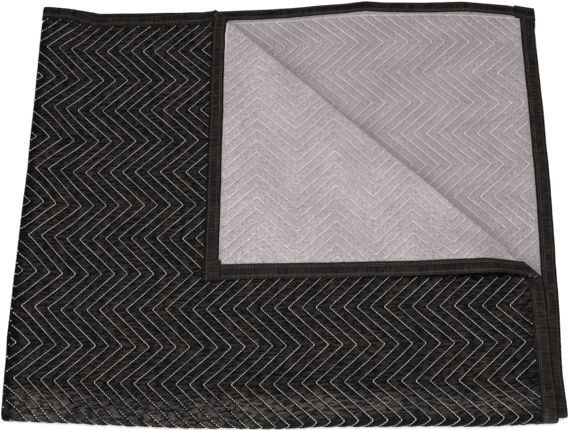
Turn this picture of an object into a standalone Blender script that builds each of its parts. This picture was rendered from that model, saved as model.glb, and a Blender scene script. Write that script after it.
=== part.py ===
"""Quilted moving pad, folded in quarters, with one corner of the top layer turned back.

The cloth is laid out flat first, in cloth coordinates: u runs along its long side, v along its
short side, and w through its thickness, with the black face at positive w. Every solid is made
flat and then carried through the same three folds, so the pieces stay a hair apart all the way:
the first fold (the part's left edge), the second fold (its near edge) and the turned-back corner.
Lengths are in millimetres, and become metres when a mesh is made.
"""

import functools
import math

import bpy
import numpy as np
from mathutils import Vector
from mathutils.geometry import delaunay_2d_cdt

MM = 0.001

# Cloth
LONG_SIDE = 2032.0          # 80 in, along u
SHORT_SIDE = 1829.0         # 72 in, along v
FIRST_FOLD_U = 1022.0       # the first fold runs across the cloth here
SECOND_FOLD_V = 907.76      # and the second fold here

# Through the thickness, from the middle of the pad
CREST_W = 2.6               # top of a quilted ridge
GROOVE_W = 1.4              # bottom of a stitched groove
PLAIN_W = 2.0               # where no quilting is raised
FLOOR_W = 2.75              # the underside, pressed flat on the floor
PANEL_GAP = 0.3             # between the two panels
BOUND_W = 1.45              # the panels where the binding nips them
BINDING_IN_W = 1.75
BINDING_OUT_W = 2.75

# Binding
BINDING_WIDTH = 30.0
BINDING_WEB = 1.0           # its thickness round the edge
PANEL_INSET = 1.7           # the panels stop this far inside the finished edge
NIP_LINE = 30.3             # where the panels start to swell, from the finished edge
SWELL = 6.0                 # over which they reach full thickness
END_GAP = 0.3

# Quilting
LINE_PITCH = 25.4
HALF_PERIOD = 73.2          # along v, between two corners of a zigzag line
ZIGZAG_SWING = 73.2         # along u, so the lines run at 45 degrees
FIRST_CORNER_U = 18.4
CORNER_ROW_V = 1726.8
SHORTEST_STITCH_RUN = 14.0
SAMPLES_PER_RUN = 41
QUILT_FROM_EDGE = 36.8      # the raised quilting keeps these distances from edges and folds
QUILT_FROM_FIRST_FOLD = 3.0
QUILT_FROM_CORNER_FOLD = 4.0
QUILT_UNDER_FLAP = 30.0     # the layer under the flap is raised this far past the corner fold
PRESSED_FROM_FOLD = 20.0    # the underside is flat from here on

# Folds
LAYER_HALF_GAP = 3.1        # half the pitch of two layers of one pair, lying flat
LEFT_HALF_GAP = 3.1         # radius of the first fold
SECOND_HALF_GAP = 5.2       # half the pitch of the pair's layers round the second fold
SECOND_INNER_RADIUS = 4.5   # radius of the inner layer round the second fold
SLIP = 1.2                  # how far the outer layer lags the inner one round the second fold
SHEAR_WIDTH = 100.0         # near the first fold the two layers can't slip
LEFT_PUFF_WIDTH = 120.0
SECOND_PUFF_WIDTH = 110.0
FIRST_FOLD_BANDS = 4        # flat bands round each half turn
SECOND_FOLD_BANDS = 6
CORNER_FOLD_BANDS = 4

# Turned-back corner: its fold line is x + y = constant, counted from the folds' centres
CORNER_LINE = 1262.0
CORNER_RADIUS = 4.2
CORNER_FOLD_STEPS = [-280.0, -140.0, 0.0, 140.0, 260.0, 350.0, 420.0]
CORNER_PRESS_WIDTH = 100.0
CORNER_GUIDES = [50.0]      # lines of points beside the corner fold, on the flap
CORNER_GUIDE_STEPS = [-140.0, 0.0, 140.0, 260.0, 350.0, 400.0]
CORNER_REACH = 900.0        # the fold line is searched this far to each side
CORNER_FROM_FIRST_FOLD = 200.0      # only cloth beyond both distances can be turned back
CORNER_FROM_SECOND_FOLD = 60.0
LINE_CLEARANCE = 12.0       # other points keep this far from the corner fold's lines
SEARCH_STEPS = 30
UNLAY_STEPS = 6

# The laid pad isn't a true rectangle. Shifts of its edges from their nominal place.
FIRST_FOLD_SHIFT = [
    {"y": 0.0, "x": 6.0},
    {"y": 70.0, "x": 3.0},
    {"y": 370.0, "x": 1.0},
    {"y": 900.0, "x": -4.0},
]
RIGHT_EDGE_SHIFT = [
    {"y": 0.0, "outer": -11.0, "inner": -8.0},
    {"y": 87.0, "outer": -10.0, "inner": -7.0},
    {"y": 205.0, "outer": -8.0, "inner": 0.6},
    {"y": 374.0, "outer": -6.0, "inner": 10.6},
    {"y": 486.0, "outer": -6.0, "inner": 15.6},
    {"y": 602.0, "outer": -6.0, "inner": 19.6},
    {"y": 909.0, "outer": -6.0, "inner": 24.6},
]
FAR_EDGE_SHIFT = [
    {"x": 0.0, "outer": 2.0, "inner": 0.0},
    {"x": 101.0, "outer": 0.0, "inner": -6.0},
    {"x": 325.0, "outer": 0.0, "inner": -13.0},
    {"x": 372.0, "outer": 9.0, "inner": -12.0},
    {"x": 432.0, "outer": 13.0, "inner": -10.0},
    {"x": 507.0, "outer": 13.0, "inner": -6.0},
    {"x": 583.0, "outer": 13.0, "inner": 3.0},
    {"x": 665.0, "outer": 13.0, "inner": 10.0},
    {"x": 863.0, "outer": 13.0, "inner": 10.0},
    {"x": 970.0, "outer": 13.0, "inner": -1.0},
    {"x": 1040.0, "outer": 13.0, "inner": -9.0},
]
NEAR_EDGE_SHIFT = [
    {"x": -9.0, "y": 8.0},
    {"x": 29.0, "y": 7.5},
    {"x": 86.0, "y": 8.5},
    {"x": 125.0, "y": 7.5},
    {"x": 173.0, "y": 4.5},
    {"x": 270.0, "y": 1.0},
    {"x": 375.0, "y": -3.0},
    {"x": 505.0, "y": -4.0},
    {"x": 565.0, "y": -1.0},
    {"x": 600.0, "y": 0.0},
    {"x": 889.0, "y": 0.0},
    {"x": 992.0, "y": 4.0},
]
LEFT_SHIFT_WIDTH = 250.0
FAR_SHIFT_DEPTH = 300.0
NEAR_SHIFT_DEPTH = 250.0

# Places where the stack stands higher than its layers need
SWELLS = [
    {"x": 0.0, "y": 900.0, "reach": 280.0, "share": 0.16},
]
FLAP_LIFT = [
    {"x": 622.0, "height": 0.0},
    {"x": 742.0, "height": 3.0},
    {"x": 832.0, "height": 9.0},
    {"x": 897.0, "height": 12.0},
    {"x": 957.0, "height": 9.0},
    {"x": 1010.0, "height": 4.0},
]
FLAP_LIFT_EDGE_Y = 267.0
FLAP_LIFT_DEPTH = 170.0
FLAP_LIFT_RAMP = 50.0       # the lift starts over this distance from the corner fold
LIFTED_FROM, LIFTED_TO = 360.0, 700.0   # coarse lines that cross the lifted part
FLAP_GUIDES = [65.0, 118.0, 170.0]      # lines of points beside the flap's near edge

# Distances from a fold at which the coarse mesh has a line of points
COARSE_FROM_FIRST_FOLD = [26.0, 60.0, 95.0, 138.0, 240.0, 365.0, 495.0, 620.0, 750.0, 860.0]
COARSE_FROM_SECOND_FOLD = [31.0, 62.0, 110.0, 200.0, 305.0, 365.0, 430.0, 520.0, 640.0, 765.0]
GUIDES_AT_SECOND_FOLD = 2   # this many of those lines are cut into the stitched faces too
GUIDES_AT_FIRST_FOLD = 4
MERGE_DISTANCE = 0.01

CENTRE_X = 516.03           # of the folded pad, from the first fold's centre
CENTRE_Y = 452.22           # and from the second fold's centre

COLOURS = {
    "black": (0.012, 0.011, 0.011),
    "grey": (0.36, 0.32, 0.335),
    "tape": (0.010, 0.009, 0.009),
}


def ease(t):
    """0 to 1 with level ends."""
    t = np.clip(t, 0.0, 1.0)
    return t * t * (3.0 - 2.0 * t)


def read_table(rows, key, column, at):
    """A table's column at a place, straight between its rows."""
    return np.interp(at, [row[key] for row in rows], [row[column] for row in rows])


def first_fold(u, w):
    """Lies one pair of layers on each other: gives x, and the side and share of the half gap."""
    turn = np.clip((u - FIRST_FOLD_U) / LEFT_HALF_GAP, -math.pi / 2, math.pi / 2)
    past = np.abs(u - FIRST_FOLD_U) - math.pi / 2 * LEFT_HALF_GAP
    flat = np.maximum(past, 0.0)
    x = np.where(past > 0.0, flat, -(LEFT_HALF_GAP + w) * np.cos(turn))
    return x, flat, np.sin(turn)


def half_gap(x, from_fold):
    """Half the distance between the layers of a pair."""
    near = 1.0 - ease(from_fold / SECOND_PUFF_WIDTH)
    open_gap = LAYER_HALF_GAP + (SECOND_HALF_GAP - LAYER_HALF_GAP) * near
    return LEFT_HALF_GAP + (open_gap - LEFT_HALF_GAP) * ease(x / LEFT_PUFF_WIDTH)


def pair_height(x, from_fold):
    """Middle of a pair above the middle of the stack, and its radius round the second fold."""
    near = 1.0 - ease(from_fold / SECOND_PUFF_WIDTH)
    return half_gap(x, from_fold) + LAYER_HALF_GAP + (SECOND_INNER_RADIUS - LAYER_HALF_GAP) * near


def arc_radius(x, side):
    """Radius by which the cloth's length is used up round the second fold."""
    return pair_height(x, 0.0) + SLIP * ease(x / SHEAR_WIDTH) * side * half_gap(x, 0.0)


def lay(u, v, w):
    """Both folds, and the edges' shifts, without the turned-back corner."""
    x, flat_x, side = first_fold(u, w)
    reach = v - SECOND_FOLD_V
    radius = arc_radius(flat_x, side)
    turn = np.clip(reach / radius, -math.pi / 2, math.pi / 2)
    flat_y = np.maximum(np.abs(reach) - math.pi / 2 * radius, 0.0)
    gap = half_gap(flat_x, flat_y)
    middle = pair_height(flat_x, flat_y)
    offset = side * (gap + w)
    y = np.where(flat_y > 0.0, flat_y, -(middle + offset) * np.cos(turn))
    z = middle + gap + FLOOR_W + (middle + offset) * np.sin(turn)

    outer = (side + 1.0) / 2.0
    right = outer * read_table(RIGHT_EDGE_SHIFT, "y", "outer", flat_y)
    right += (1.0 - outer) * read_table(RIGHT_EDGE_SHIFT, "y", "inner", flat_y)
    left = read_table(FIRST_FOLD_SHIFT, "y", "x", flat_y)
    far = outer * read_table(FAR_EDGE_SHIFT, "x", "outer", flat_x)
    far += (1.0 - outer) * read_table(FAR_EDGE_SHIFT, "x", "inner", flat_x)
    near = read_table(NEAR_EDGE_SHIFT, "x", "y", x)
    full_y = SHORT_SIDE - SECOND_FOLD_V
    full_x = LONG_SIDE - FIRST_FOLD_U
    x = x + left * (1.0 - ease(flat_x / LEFT_SHIFT_WIDTH)) + right * flat_x / full_x
    y = y + far * ease((flat_y - full_y + FAR_SHIFT_DEPTH) / FAR_SHIFT_DEPTH)
    y = y + near * (1.0 - ease(flat_y / NEAR_SHIFT_DEPTH))
    for swell in SWELLS:
        away = np.hypot(x - swell["x"], y - swell["y"]) / swell["reach"]
        z = z * (1.0 + swell["share"] * (1.0 - ease(away)))
    return x, y, z


def corner_start():
    """Where the corner's fold leaves the layer, measured square to the fold line."""
    return CORNER_LINE / math.sqrt(2.0) - CORNER_RADIUS - CREST_W


def in_top_corner(u, v):
    """Cloth of the top layer that the corner's fold can reach."""
    beyond_first = u > FIRST_FOLD_U + CORNER_FROM_FIRST_FOLD
    return beyond_first & (v > SECOND_FOLD_V + CORNER_FROM_SECOND_FOLD)


def fold_cloth(u, v, w):
    """Cloth coordinates to the folded pad, as an array of points."""
    u, v, w = (np.asarray(value, dtype=float) for value in (u, v, w))
    x, y, z = lay(u, v, w)
    middle_z = z - w
    across = (x + y) / math.sqrt(2.0)
    along = (x - y) / math.sqrt(2.0)
    radius = CORNER_RADIUS
    start = corner_start()
    turn = np.clip((across - start) / radius, 0.0, math.pi)
    past = np.maximum(across - start - math.pi * radius, 0.0)
    in_turn = past <= 0.0
    turned = in_top_corner(u, v) & (across > start)
    new_across = np.where(in_turn, start + (radius - w) * np.sin(turn), start - past)
    flat_radius = LAYER_HALF_GAP + (radius - LAYER_HALF_GAP) * (1.0 - ease(past / CORNER_PRESS_WIDTH))
    new_z = np.where(in_turn, radius - (radius - w) * np.cos(turn), 2.0 * flat_radius - w)
    new_x = (new_across + along) / math.sqrt(2.0)
    new_y = (new_across - along) / math.sqrt(2.0)
    lift = read_table(FLAP_LIFT, "x", "height", new_x)
    lift = lift * (1.0 - ease((new_y - FLAP_LIFT_EDGE_Y) / FLAP_LIFT_DEPTH))
    lift = lift * np.clip(past / FLAP_LIFT_RAMP, 0.0, 1.0)
    x = np.where(turned, new_x, x)
    y = np.where(turned, new_y, y)
    z = np.where(turned, middle_z + new_z + lift, z)
    return np.stack([x - CENTRE_X, y - CENTRE_Y, z], axis=-1)


def unlay(x, y):
    """Cloth point of the top layer that lies at x, y before the corner is turned."""
    u = FIRST_FOLD_U + x
    v = SECOND_FOLD_V + y
    for _ in range(UNLAY_STEPS):
        at_x, at_y, _z = lay(np.array([u]), np.array([v]), np.array([0.0]))
        u += x - float(at_x[0])
        v += y - float(at_y[0])
    return u, v


def corner_fold_lines():
    """The corner fold's flat bands, as distances past its start."""
    steps = range(CORNER_FOLD_BANDS + 1)
    return [math.pi * step / CORNER_FOLD_BANDS * CORNER_RADIUS for step in steps]


def corner_fold_point(past, along):
    """Cloth point at a distance past the corner fold's start, and along the fold."""
    across = corner_start() + past
    return unlay((across + along) / math.sqrt(2.0), (across - along) / math.sqrt(2.0))


@functools.lru_cache(maxsize=None)
def corner_line_at(past, side, distance):
    """Where a line parallel to the corner fold meets a line inside the far or right edge."""
    low, high = (-CORNER_REACH, 0.0) if side == "far" else (0.0, CORNER_REACH)
    for _ in range(SEARCH_STEPS):
        middle = (low + high) / 2.0
        u, v = corner_fold_point(past, middle)
        inside = v > SHORT_SIDE - distance if side == "far" else u < LONG_SIDE - distance
        if inside:
            low = middle
        else:
            high = middle
    return u if side == "far" else v


def first_fold_lines():
    """The first fold's flat bands, as values of u."""
    steps = range(FIRST_FOLD_BANDS + 1)
    return [FIRST_FOLD_U + LEFT_HALF_GAP * math.pi * (s / FIRST_FOLD_BANDS - 0.5) for s in steps]


def second_fold_line(step, u):
    """The second fold's band edge number step, at u."""
    _x, flat_x, side = first_fold(np.array([u]), np.array([0.0]))
    turn = math.pi * (step / SECOND_FOLD_BANDS - 0.5)
    return SECOND_FOLD_V + turn * float(arc_radius(flat_x, side)[0])


def coarse_u():
    """Lines of points along u, off the first fold."""
    start = math.pi / 2 * LEFT_HALF_GAP
    above = [FIRST_FOLD_U + start + d for d in COARSE_FROM_FIRST_FOLD]
    below = [FIRST_FOLD_U - start - d for d in COARSE_FROM_FIRST_FOLD]
    return sorted(above + below)


def coarse_v(u):
    """Lines of points along v, off the second fold, at u."""
    above = [second_fold_line(SECOND_FOLD_BANDS, u) + d for d in COARSE_FROM_SECOND_FOLD]
    below = [second_fold_line(0, u) - d for d in COARSE_FROM_SECOND_FOLD]
    return sorted(above + below)


def straight_stations(values):
    return [(value, value) for value in values]


def strip_stations(side):
    """Cross lines of one edge's strip: places at the panels' edge and at the nip line."""
    if side in ("far", "far_under"):
        values = [PANEL_INSET, NIP_LINE, LONG_SIDE - NIP_LINE, LONG_SIDE - PANEL_INSET]
        stations = straight_stations(values + coarse_u() + first_fold_lines())
    else:
        u = 0.0 if side == "right_inner" else LONG_SIDE
        values = [NIP_LINE, SHORT_SIDE - NIP_LINE]
        folds = [second_fold_line(step, u) for step in range(SECOND_FOLD_BANDS + 1)]
        stations = straight_stations(values + coarse_v(u) + folds)
    if side in ("far", "right_outer"):
        which = "far" if side == "far" else "right"
        slanted = []
        for past in corner_fold_lines():
            at_edge = corner_line_at(past, which, PANEL_INSET)
            at_nip = corner_line_at(past, which, NIP_LINE)
            slanted.append((at_edge, at_nip))
        low = min(min(pair) for pair in slanted) - LINE_CLEARANCE
        high = max(max(pair) for pair in slanted) + LINE_CLEARANCE
        stations = [s for s in stations if not low < s[0] < high] + slanted
    return sorted(stations)


def strip_point(side, place, distance):
    """Cloth point at a place along an edge and a distance in from it."""
    if side == "far":
        return place, SHORT_SIDE - distance
    if side == "far_under":
        return place, distance
    if side == "right_inner":
        return distance, place
    return LONG_SIDE - distance, place


def zigzag(v):
    """How far a quilting line stands from its leftmost corner at v."""
    period = (v - CORNER_ROW_V) / (2.0 * HALF_PERIOD)
    return ZIGZAG_SWING * (1.0 - np.abs(1.0 - 2.0 * (period - np.floor(period))))


def quilt_height(u, v):
    """Ridges between the stitched lines: lowest on a line, highest midway."""
    phase = (u - FIRST_CORNER_U - zigzag(v)) / LINE_PITCH
    ridge = 1.0 - np.abs(1.0 - 2.0 * (phase - np.floor(phase)))
    return GROOVE_W + (CREST_W - GROOVE_W) * ridge


def turned_across(u, v):
    """How far the flat cloth lies past the start of the corner fold, in its own plane."""
    x, y, _z = lay(u, v, np.zeros_like(u))
    return (x + y) / math.sqrt(2.0) - corner_start()


def quilted(u, v, face):
    """Where the quilting is raised on a face: all that shows from above and from the front."""
    edge = QUILT_FROM_EDGE
    clear = (u > edge) & (u < LONG_SIDE - edge) & (v > edge) & (v < SHORT_SIDE - edge)
    clear &= np.abs(u - FIRST_FOLD_U) > math.pi / 2 * LEFT_HALF_GAP + QUILT_FROM_FIRST_FOLD
    past = turned_across(u, v)
    if face == "black":
        under = SECOND_FOLD_V - math.pi / 2 * arc_radius(LONG_SIDE, 1.0) + GROOVE_W
        return clear & (u > FIRST_FOLD_U) & (v > under) & (past < -QUILT_FROM_CORNER_FOLD)
    past_fold = past > math.pi * CORNER_RADIUS + QUILT_FROM_CORNER_FOLD
    flap = (u > FIRST_FOLD_U) & (v > SECOND_FOLD_V) & past_fold
    shown = (u < FIRST_FOLD_U) & (v > SECOND_FOLD_V) & (past > -QUILT_UNDER_FLAP)
    return clear & (flap | shown)


def face_height(u, v, face):
    """Distance of a panel's outer face from the middle of the pad."""
    edge = np.minimum(np.minimum(u, LONG_SIDE - u), np.minimum(v, SHORT_SIDE - v))
    plain = np.full_like(u, PLAIN_W)
    if face == "black":
        under = (u >= FIRST_FOLD_U) & (v < SECOND_FOLD_V - PRESSED_FROM_FOLD)
        plain = np.where(under, FLOOR_W, plain)
    height = np.where(quilted(u, v, face), quilt_height(u, v), plain)
    swell = ease((edge - NIP_LINE) / SWELL)
    return BOUND_W + (height - BOUND_W) * swell


def stitch_runs(face):
    """Quilting lines and the crests between them, cut to the quilted stretches of a face."""
    runs = []
    first_row = math.floor((CORNER_ROW_V - SHORT_SIDE) / HALF_PERIOD)
    rows = range(first_row, math.ceil(CORNER_ROW_V / HALF_PERIOD))
    first_line = math.floor(-2.0 * (FIRST_CORNER_U + ZIGZAG_SWING) / LINE_PITCH)
    lines = range(first_line, math.ceil(2.0 * LONG_SIDE / LINE_PITCH))
    share = np.linspace(0.0, 1.0, SAMPLES_PER_RUN)
    for half_line in lines:
        base = FIRST_CORNER_U + half_line * LINE_PITCH / 2.0
        for row in rows:
            v = CORNER_ROW_V - HALF_PERIOD * (row + share)
            if v[0] < 0.0 or v[-1] > SHORT_SIDE:
                continue
            u = base + zigzag(v)
            if u.max() < 0.0 or u.min() > LONG_SIDE:
                continue
            inside = quilted(u, v, face)
            start = None
            for i in range(len(share) + 1):
                on = i < len(share) and inside[i]
                if on and start is None:
                    start = i
                if not on and start is not None:
                    last = i - 1
                    if np.hypot(u[last] - u[start], v[last] - v[start]) > SHORTEST_STITCH_RUN:
                        runs.append(((u[start], v[start]), (u[last], v[last])))
                    start = None
    return runs


class Layout:
    """Points and fixed edges of a flat drawing, for one triangulation."""

    def __init__(self):
        self.points = []
        self.index = {}
        self.edges = []

    def point(self, u, v):
        key = (round(u, 3), round(v, 3))
        if key not in self.index:
            self.index[key] = len(self.points)
            self.points.append(Vector(key))
        return self.index[key]

    def line(self, places):
        numbers = [self.point(u, v) for u, v in places]
        self.edges += [(a, b) for a, b in zip(numbers, numbers[1:]) if a != b]

    def triangles(self):
        verts, _edges, faces, *_rest = delaunay_2d_cdt(self.points, self.edges, [], 0, MERGE_DISTANCE)
        return np.array([(p.x, p.y) for p in verts]), faces


def draw_frame_lines(layout):
    """Edges, strips and folds, which every face of both panels shares."""
    for side in ("far", "far_under", "right_inner", "right_outer"):
        stations = strip_stations(side)
        edge = [strip_point(side, outer, PANEL_INSET) for outer, _nip in stations]
        nip = [strip_point(side, inner, NIP_LINE) for _outer, inner in stations]
        if side.startswith("right"):
            first = strip_point(side, PANEL_INSET, PANEL_INSET)
            last = strip_point(side, SHORT_SIDE - PANEL_INSET, PANEL_INSET)
            layout.line([first] + edge + [last])
        else:
            layout.line(edge)
        layout.line(nip)
        for a, b in zip(edge, nip):
            layout.line([a, b])
        for a, b in zip(edge, nip[1:]):
            layout.line([a, b])
    for u in first_fold_lines():
        layout.line([(u, v) for v in [NIP_LINE] + coarse_v(u) + [SHORT_SIDE - NIP_LINE]])
    across = [NIP_LINE] + sorted(coarse_u() + first_fold_lines()) + [LONG_SIDE - NIP_LINE]
    for step in range(SECOND_FOLD_BANDS + 1):
        places = [(u, second_fold_line(step, u)) for u in across[1:-1]]
        ends = [(u, second_fold_line(step, LONG_SIDE * (u > FIRST_FOLD_U))) for u in (across[0], across[-1])]
        layout.line([ends[0]] + places + [ends[1]])
    for past in corner_fold_lines():
        far = (corner_line_at(past, "far", NIP_LINE), SHORT_SIDE - NIP_LINE)
        right = (LONG_SIDE - NIP_LINE, corner_line_at(past, "right", NIP_LINE))
        between = [corner_fold_point(past, along) for along in CORNER_FOLD_STEPS]
        layout.line([far] + between + [right])
    draw_guides(layout, across)


def draw_guides(layout, across):
    """Lines of points where the cloth curves, so that all its faces bend alike."""
    for sign, edge_line in ((1.0, SECOND_FOLD_BANDS), (-1.0, 0)):
        for guide in COARSE_FROM_SECOND_FOLD[:GUIDES_AT_SECOND_FOLD]:
            places = [(u, second_fold_line(edge_line, u) + sign * guide) for u in across[1:-1]]
            sides = (0.0, LONG_SIDE)
            heights = [second_fold_line(edge_line, side) + sign * guide for side in sides]
            layout.line([(across[0], heights[0])] + places + [(across[-1], heights[1])])
    start = math.pi / 2 * LEFT_HALF_GAP
    reach = COARSE_FROM_SECOND_FOLD[GUIDES_AT_SECOND_FOLD - 1]
    for guide in COARSE_FROM_FIRST_FOLD[:GUIDES_AT_FIRST_FOLD]:
        for u in (FIRST_FOLD_U + start + guide, FIRST_FOLD_U - start - guide):
            low = second_fold_line(0, u)
            high = second_fold_line(SECOND_FOLD_BANDS, u)
            layout.line([(u, low - reach), (u, low)])
            layout.line([(u, high), (u, high + reach)])
    for guide in CORNER_GUIDES:
        past = math.pi * CORNER_RADIUS + guide
        layout.line([corner_fold_point(past, along) for along in CORNER_GUIDE_STEPS])
    rows = [v for v in coarse_v(LONG_SIDE) if on_lifted_flap(v)]
    lines = [LONG_SIDE - guide for guide in FLAP_GUIDES]
    for u in lines:
        layout.line([(u, v) for v in rows])
    for v in rows:
        layout.line([(u, v) for u in [LONG_SIDE - NIP_LINE] + lines])


def on_lifted_flap(v):
    """True for the coarse lines that cross the lifted part of the flap."""
    return LIFTED_FROM < v - SECOND_FOLD_V < LIFTED_TO


def near_folds(u, v):
    """True for a coarse point that would crowd the lines of the turned-back corner."""
    past = float(turned_across(np.array([u]), np.array([v]))[0])
    close = -LINE_CLEARANCE < past < math.pi * CORNER_RADIUS + LINE_CLEARANCE
    return close and in_top_corner(u, v)


def draw_coarse_points(layout, face):
    """Points of the plain stretches, where nothing is stitched. No face means all of it."""
    for u in coarse_u():
        for v in coarse_v(u):
            if near_folds(u, v):
                continue
            here = quilted(np.array([u]), np.array([v]), face)[0] if face else False
            if not here:
                layout.point(u, v)


def sheet(face):
    """Triangulates one face of a panel, or its inner face if face is None."""
    layout = Layout()
    draw_frame_lines(layout)
    draw_coarse_points(layout, face)
    if face:
        for start, end in stitch_runs(face):
            layout.line([start, end])
    return layout.triangles()


def rim_loop(places):
    """Numbers of the points round the panels' edge, in order."""
    low, high_u, high_v = PANEL_INSET, LONG_SIDE - PANEL_INSET, SHORT_SIDE - PANEL_INSET
    slack = MERGE_DISTANCE
    u, v = places[:, 0], places[:, 1]
    near = [i for i in np.flatnonzero(abs(v - low) < slack)]
    right = [i for i in np.flatnonzero(abs(u - high_u) < slack) if v[i] > low + slack]
    far = [i for i in np.flatnonzero(abs(v - high_v) < slack) if u[i] < high_u - slack]
    left = [i for i in np.flatnonzero(abs(u - low) < slack) if low + slack < v[i] < high_v - slack]
    near.sort(key=lambda i: u[i])
    right.sort(key=lambda i: v[i])
    far.sort(key=lambda i: -u[i])
    left.sort(key=lambda i: -v[i])
    return near + right + far + left


def add_object(name, points, faces, colour, roughness):
    """Makes a mesh object, with its faces pointing out."""
    points = np.asarray(points) * MM
    volume = 0.0
    for face in faces:
        a, b, c = (points[i] for i in face)
        volume += float(np.dot(a, np.cross(b, c)))
    if volume < 0.0:
        faces = [tuple(reversed(face)) for face in faces]
    mesh = bpy.data.meshes.new(name)
    mesh.from_pydata([tuple(p) for p in points], [], [tuple(f) for f in faces])
    mesh.validate()
    mesh.update()
    material = bpy.data.materials.get(colour) or bpy.data.materials.new(colour)
    material.use_nodes = True
    shader = material.node_tree.nodes["Principled BSDF"]
    shader.inputs["Base Color"].default_value = (*COLOURS[colour], 1.0)
    shader.inputs["Roughness"].default_value = roughness
    shader.inputs["Metallic"].default_value = 0.0
    mesh.materials.append(material)
    made = bpy.data.objects.new(name, mesh)
    bpy.context.collection.objects.link(made)
    return made


def make_panel(name, face, colour):
    """One of the two cloths: its outer face is quilted, its inner face lies on the other panel."""
    sign = 1.0 if face == "black" else -1.0
    outer, outer_faces = sheet(face)
    inner, inner_faces = sheet(None)
    outer_w = sign * face_height(outer[:, 0], outer[:, 1], face)
    points = fold_cloth(outer[:, 0], outer[:, 1], outer_w)
    inner_w = np.full(len(inner), sign * PANEL_GAP / 2.0)
    points = np.concatenate([points, fold_cloth(inner[:, 0], inner[:, 1], inner_w)])
    shift = len(outer)
    faces = [tuple(f) for f in outer_faces]
    faces += [tuple(i + shift for i in reversed(f)) for f in inner_faces]
    loop_a, loop_b = rim_loop(outer), rim_loop(inner)
    if len(loop_a) != len(loop_b):
        raise ValueError("the two faces of a panel don't share their edge points")
    for i in range(len(loop_a)):
        j = (i + 1) % len(loop_a)
        a, b = loop_a[i], loop_a[j]
        c, d = loop_b[j] + shift, loop_b[i] + shift
        faces += [(b, a, d), (b, d, c)]
    return add_object(name, points, faces, colour, 0.85)


def make_binding(name, side):
    """One strip of tape folded over an edge of the pad."""
    section = [
        (BINDING_WIDTH, BINDING_OUT_W),
        (0.0, BINDING_OUT_W),
        (0.0, -BINDING_OUT_W),
        (BINDING_WIDTH, -BINDING_OUT_W),
        (BINDING_WIDTH, -BINDING_IN_W),
        (BINDING_WEB, -BINDING_IN_W),
        (BINDING_WEB, BINDING_IN_W),
        (BINDING_WIDTH, BINDING_IN_W),
    ]
    stations = strip_stations(side)
    if side.startswith("far"):
        stations[0] = (0.0, 0.0)
        stations[-1] = (LONG_SIDE, LONG_SIDE)
    else:
        stations[0] = (NIP_LINE + END_GAP, NIP_LINE + END_GAP)
        stations[-1] = (SHORT_SIDE - NIP_LINE - END_GAP, SHORT_SIDE - NIP_LINE - END_GAP)
    flat = []
    for at_edge, at_nip in stations:
        for distance, w in section:
            share = (distance - PANEL_INSET) / (NIP_LINE - PANEL_INSET)
            place = at_edge + (at_nip - at_edge) * share
            flat.append((*strip_point(side, place, distance), w))
    flat = np.array(flat)
    points = fold_cloth(flat[:, 0], flat[:, 1], flat[:, 2])
    count = len(section)
    faces = []
    for k in range(len(stations) - 1):
        for i in range(count):
            j = (i + 1) % count
            a, b = k * count + i, k * count + j
            c, d = a + count, b + count
            if section[i][0] <= section[j][0]:
                faces += [(a, b, d), (a, d, c)]
            else:
                faces += [(a, b, c), (b, d, c)]
    for cap, turned in ((0, True), ((len(stations) - 1) * count, False)):
        for quad in ((0, 1, 6, 7), (1, 2, 5, 6), (2, 3, 4, 5)):
            a, b, c, d = (cap + i for i in quad)
            pair = [(a, b, c), (a, c, d)]
            faces += [tuple(reversed(f)) for f in pair] if turned else pair
    return add_object(name, points, faces, "tape", 0.7)


def main():
    for old in list(bpy.data.objects):
        bpy.data.objects.remove(old)
    make_panel("face_panel", "black", "black")
    make_panel("back_panel", "grey", "grey")
    make_binding("binding_far_upper", "far")
    make_binding("binding_far_lower", "far_under")
    make_binding("binding_right_inner", "right_inner")
    make_binding("binding_right_outer", "right_outer")


main()
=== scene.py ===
"""Looks of the quilted moving pad: its cloths, tape and thread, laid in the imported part's frame.

Everything is drawn flat, in cloth coordinates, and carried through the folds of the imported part:
u runs along the cloth's long side, v along its short side, and w through its thickness, with the
black face at positive w. Lengths are in millimetres until a mesh is made.
"""

import math

import bpy
import numpy as np
from mathutils import Matrix, Vector
from mathutils.geometry import delaunay_2d_cdt


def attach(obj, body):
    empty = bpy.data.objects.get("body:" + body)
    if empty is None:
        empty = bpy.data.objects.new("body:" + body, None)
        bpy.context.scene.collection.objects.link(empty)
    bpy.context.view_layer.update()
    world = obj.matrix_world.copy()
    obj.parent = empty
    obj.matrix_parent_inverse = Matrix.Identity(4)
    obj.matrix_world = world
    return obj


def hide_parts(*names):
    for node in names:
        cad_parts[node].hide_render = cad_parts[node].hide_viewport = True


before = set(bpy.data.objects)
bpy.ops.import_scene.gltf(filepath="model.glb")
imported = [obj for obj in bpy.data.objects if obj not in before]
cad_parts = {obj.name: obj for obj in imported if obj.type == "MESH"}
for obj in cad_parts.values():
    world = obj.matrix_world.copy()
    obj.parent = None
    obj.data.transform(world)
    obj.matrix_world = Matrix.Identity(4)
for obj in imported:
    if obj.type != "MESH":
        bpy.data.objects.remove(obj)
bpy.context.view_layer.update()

MM = 0.001

# Cloth, as in the part, except that the stitched lines swing 1.4 mm wider
LONG_SIDE = 2032.0
SHORT_SIDE = 1829.0
FIRST_FOLD_U = 1022.0
SECOND_FOLD_V = 907.76
PLAIN_W = 2.0
FLOOR_W = 2.75
PANEL_GAP = 0.3
BOUND_W = 1.45
BINDING_IN_W = 1.75
BINDING_WIDTH = 30.0
BINDING_WEB = 1.0
PANEL_INSET = 1.7
NIP_LINE = 30.3
END_GAP = 0.3
LINE_PITCH = 25.4
HALF_PERIOD = 73.2
ZIGZAG_SWING = 74.6
FIRST_CORNER_U = 18.4
CORNER_ROW_V = 1726.8

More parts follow.
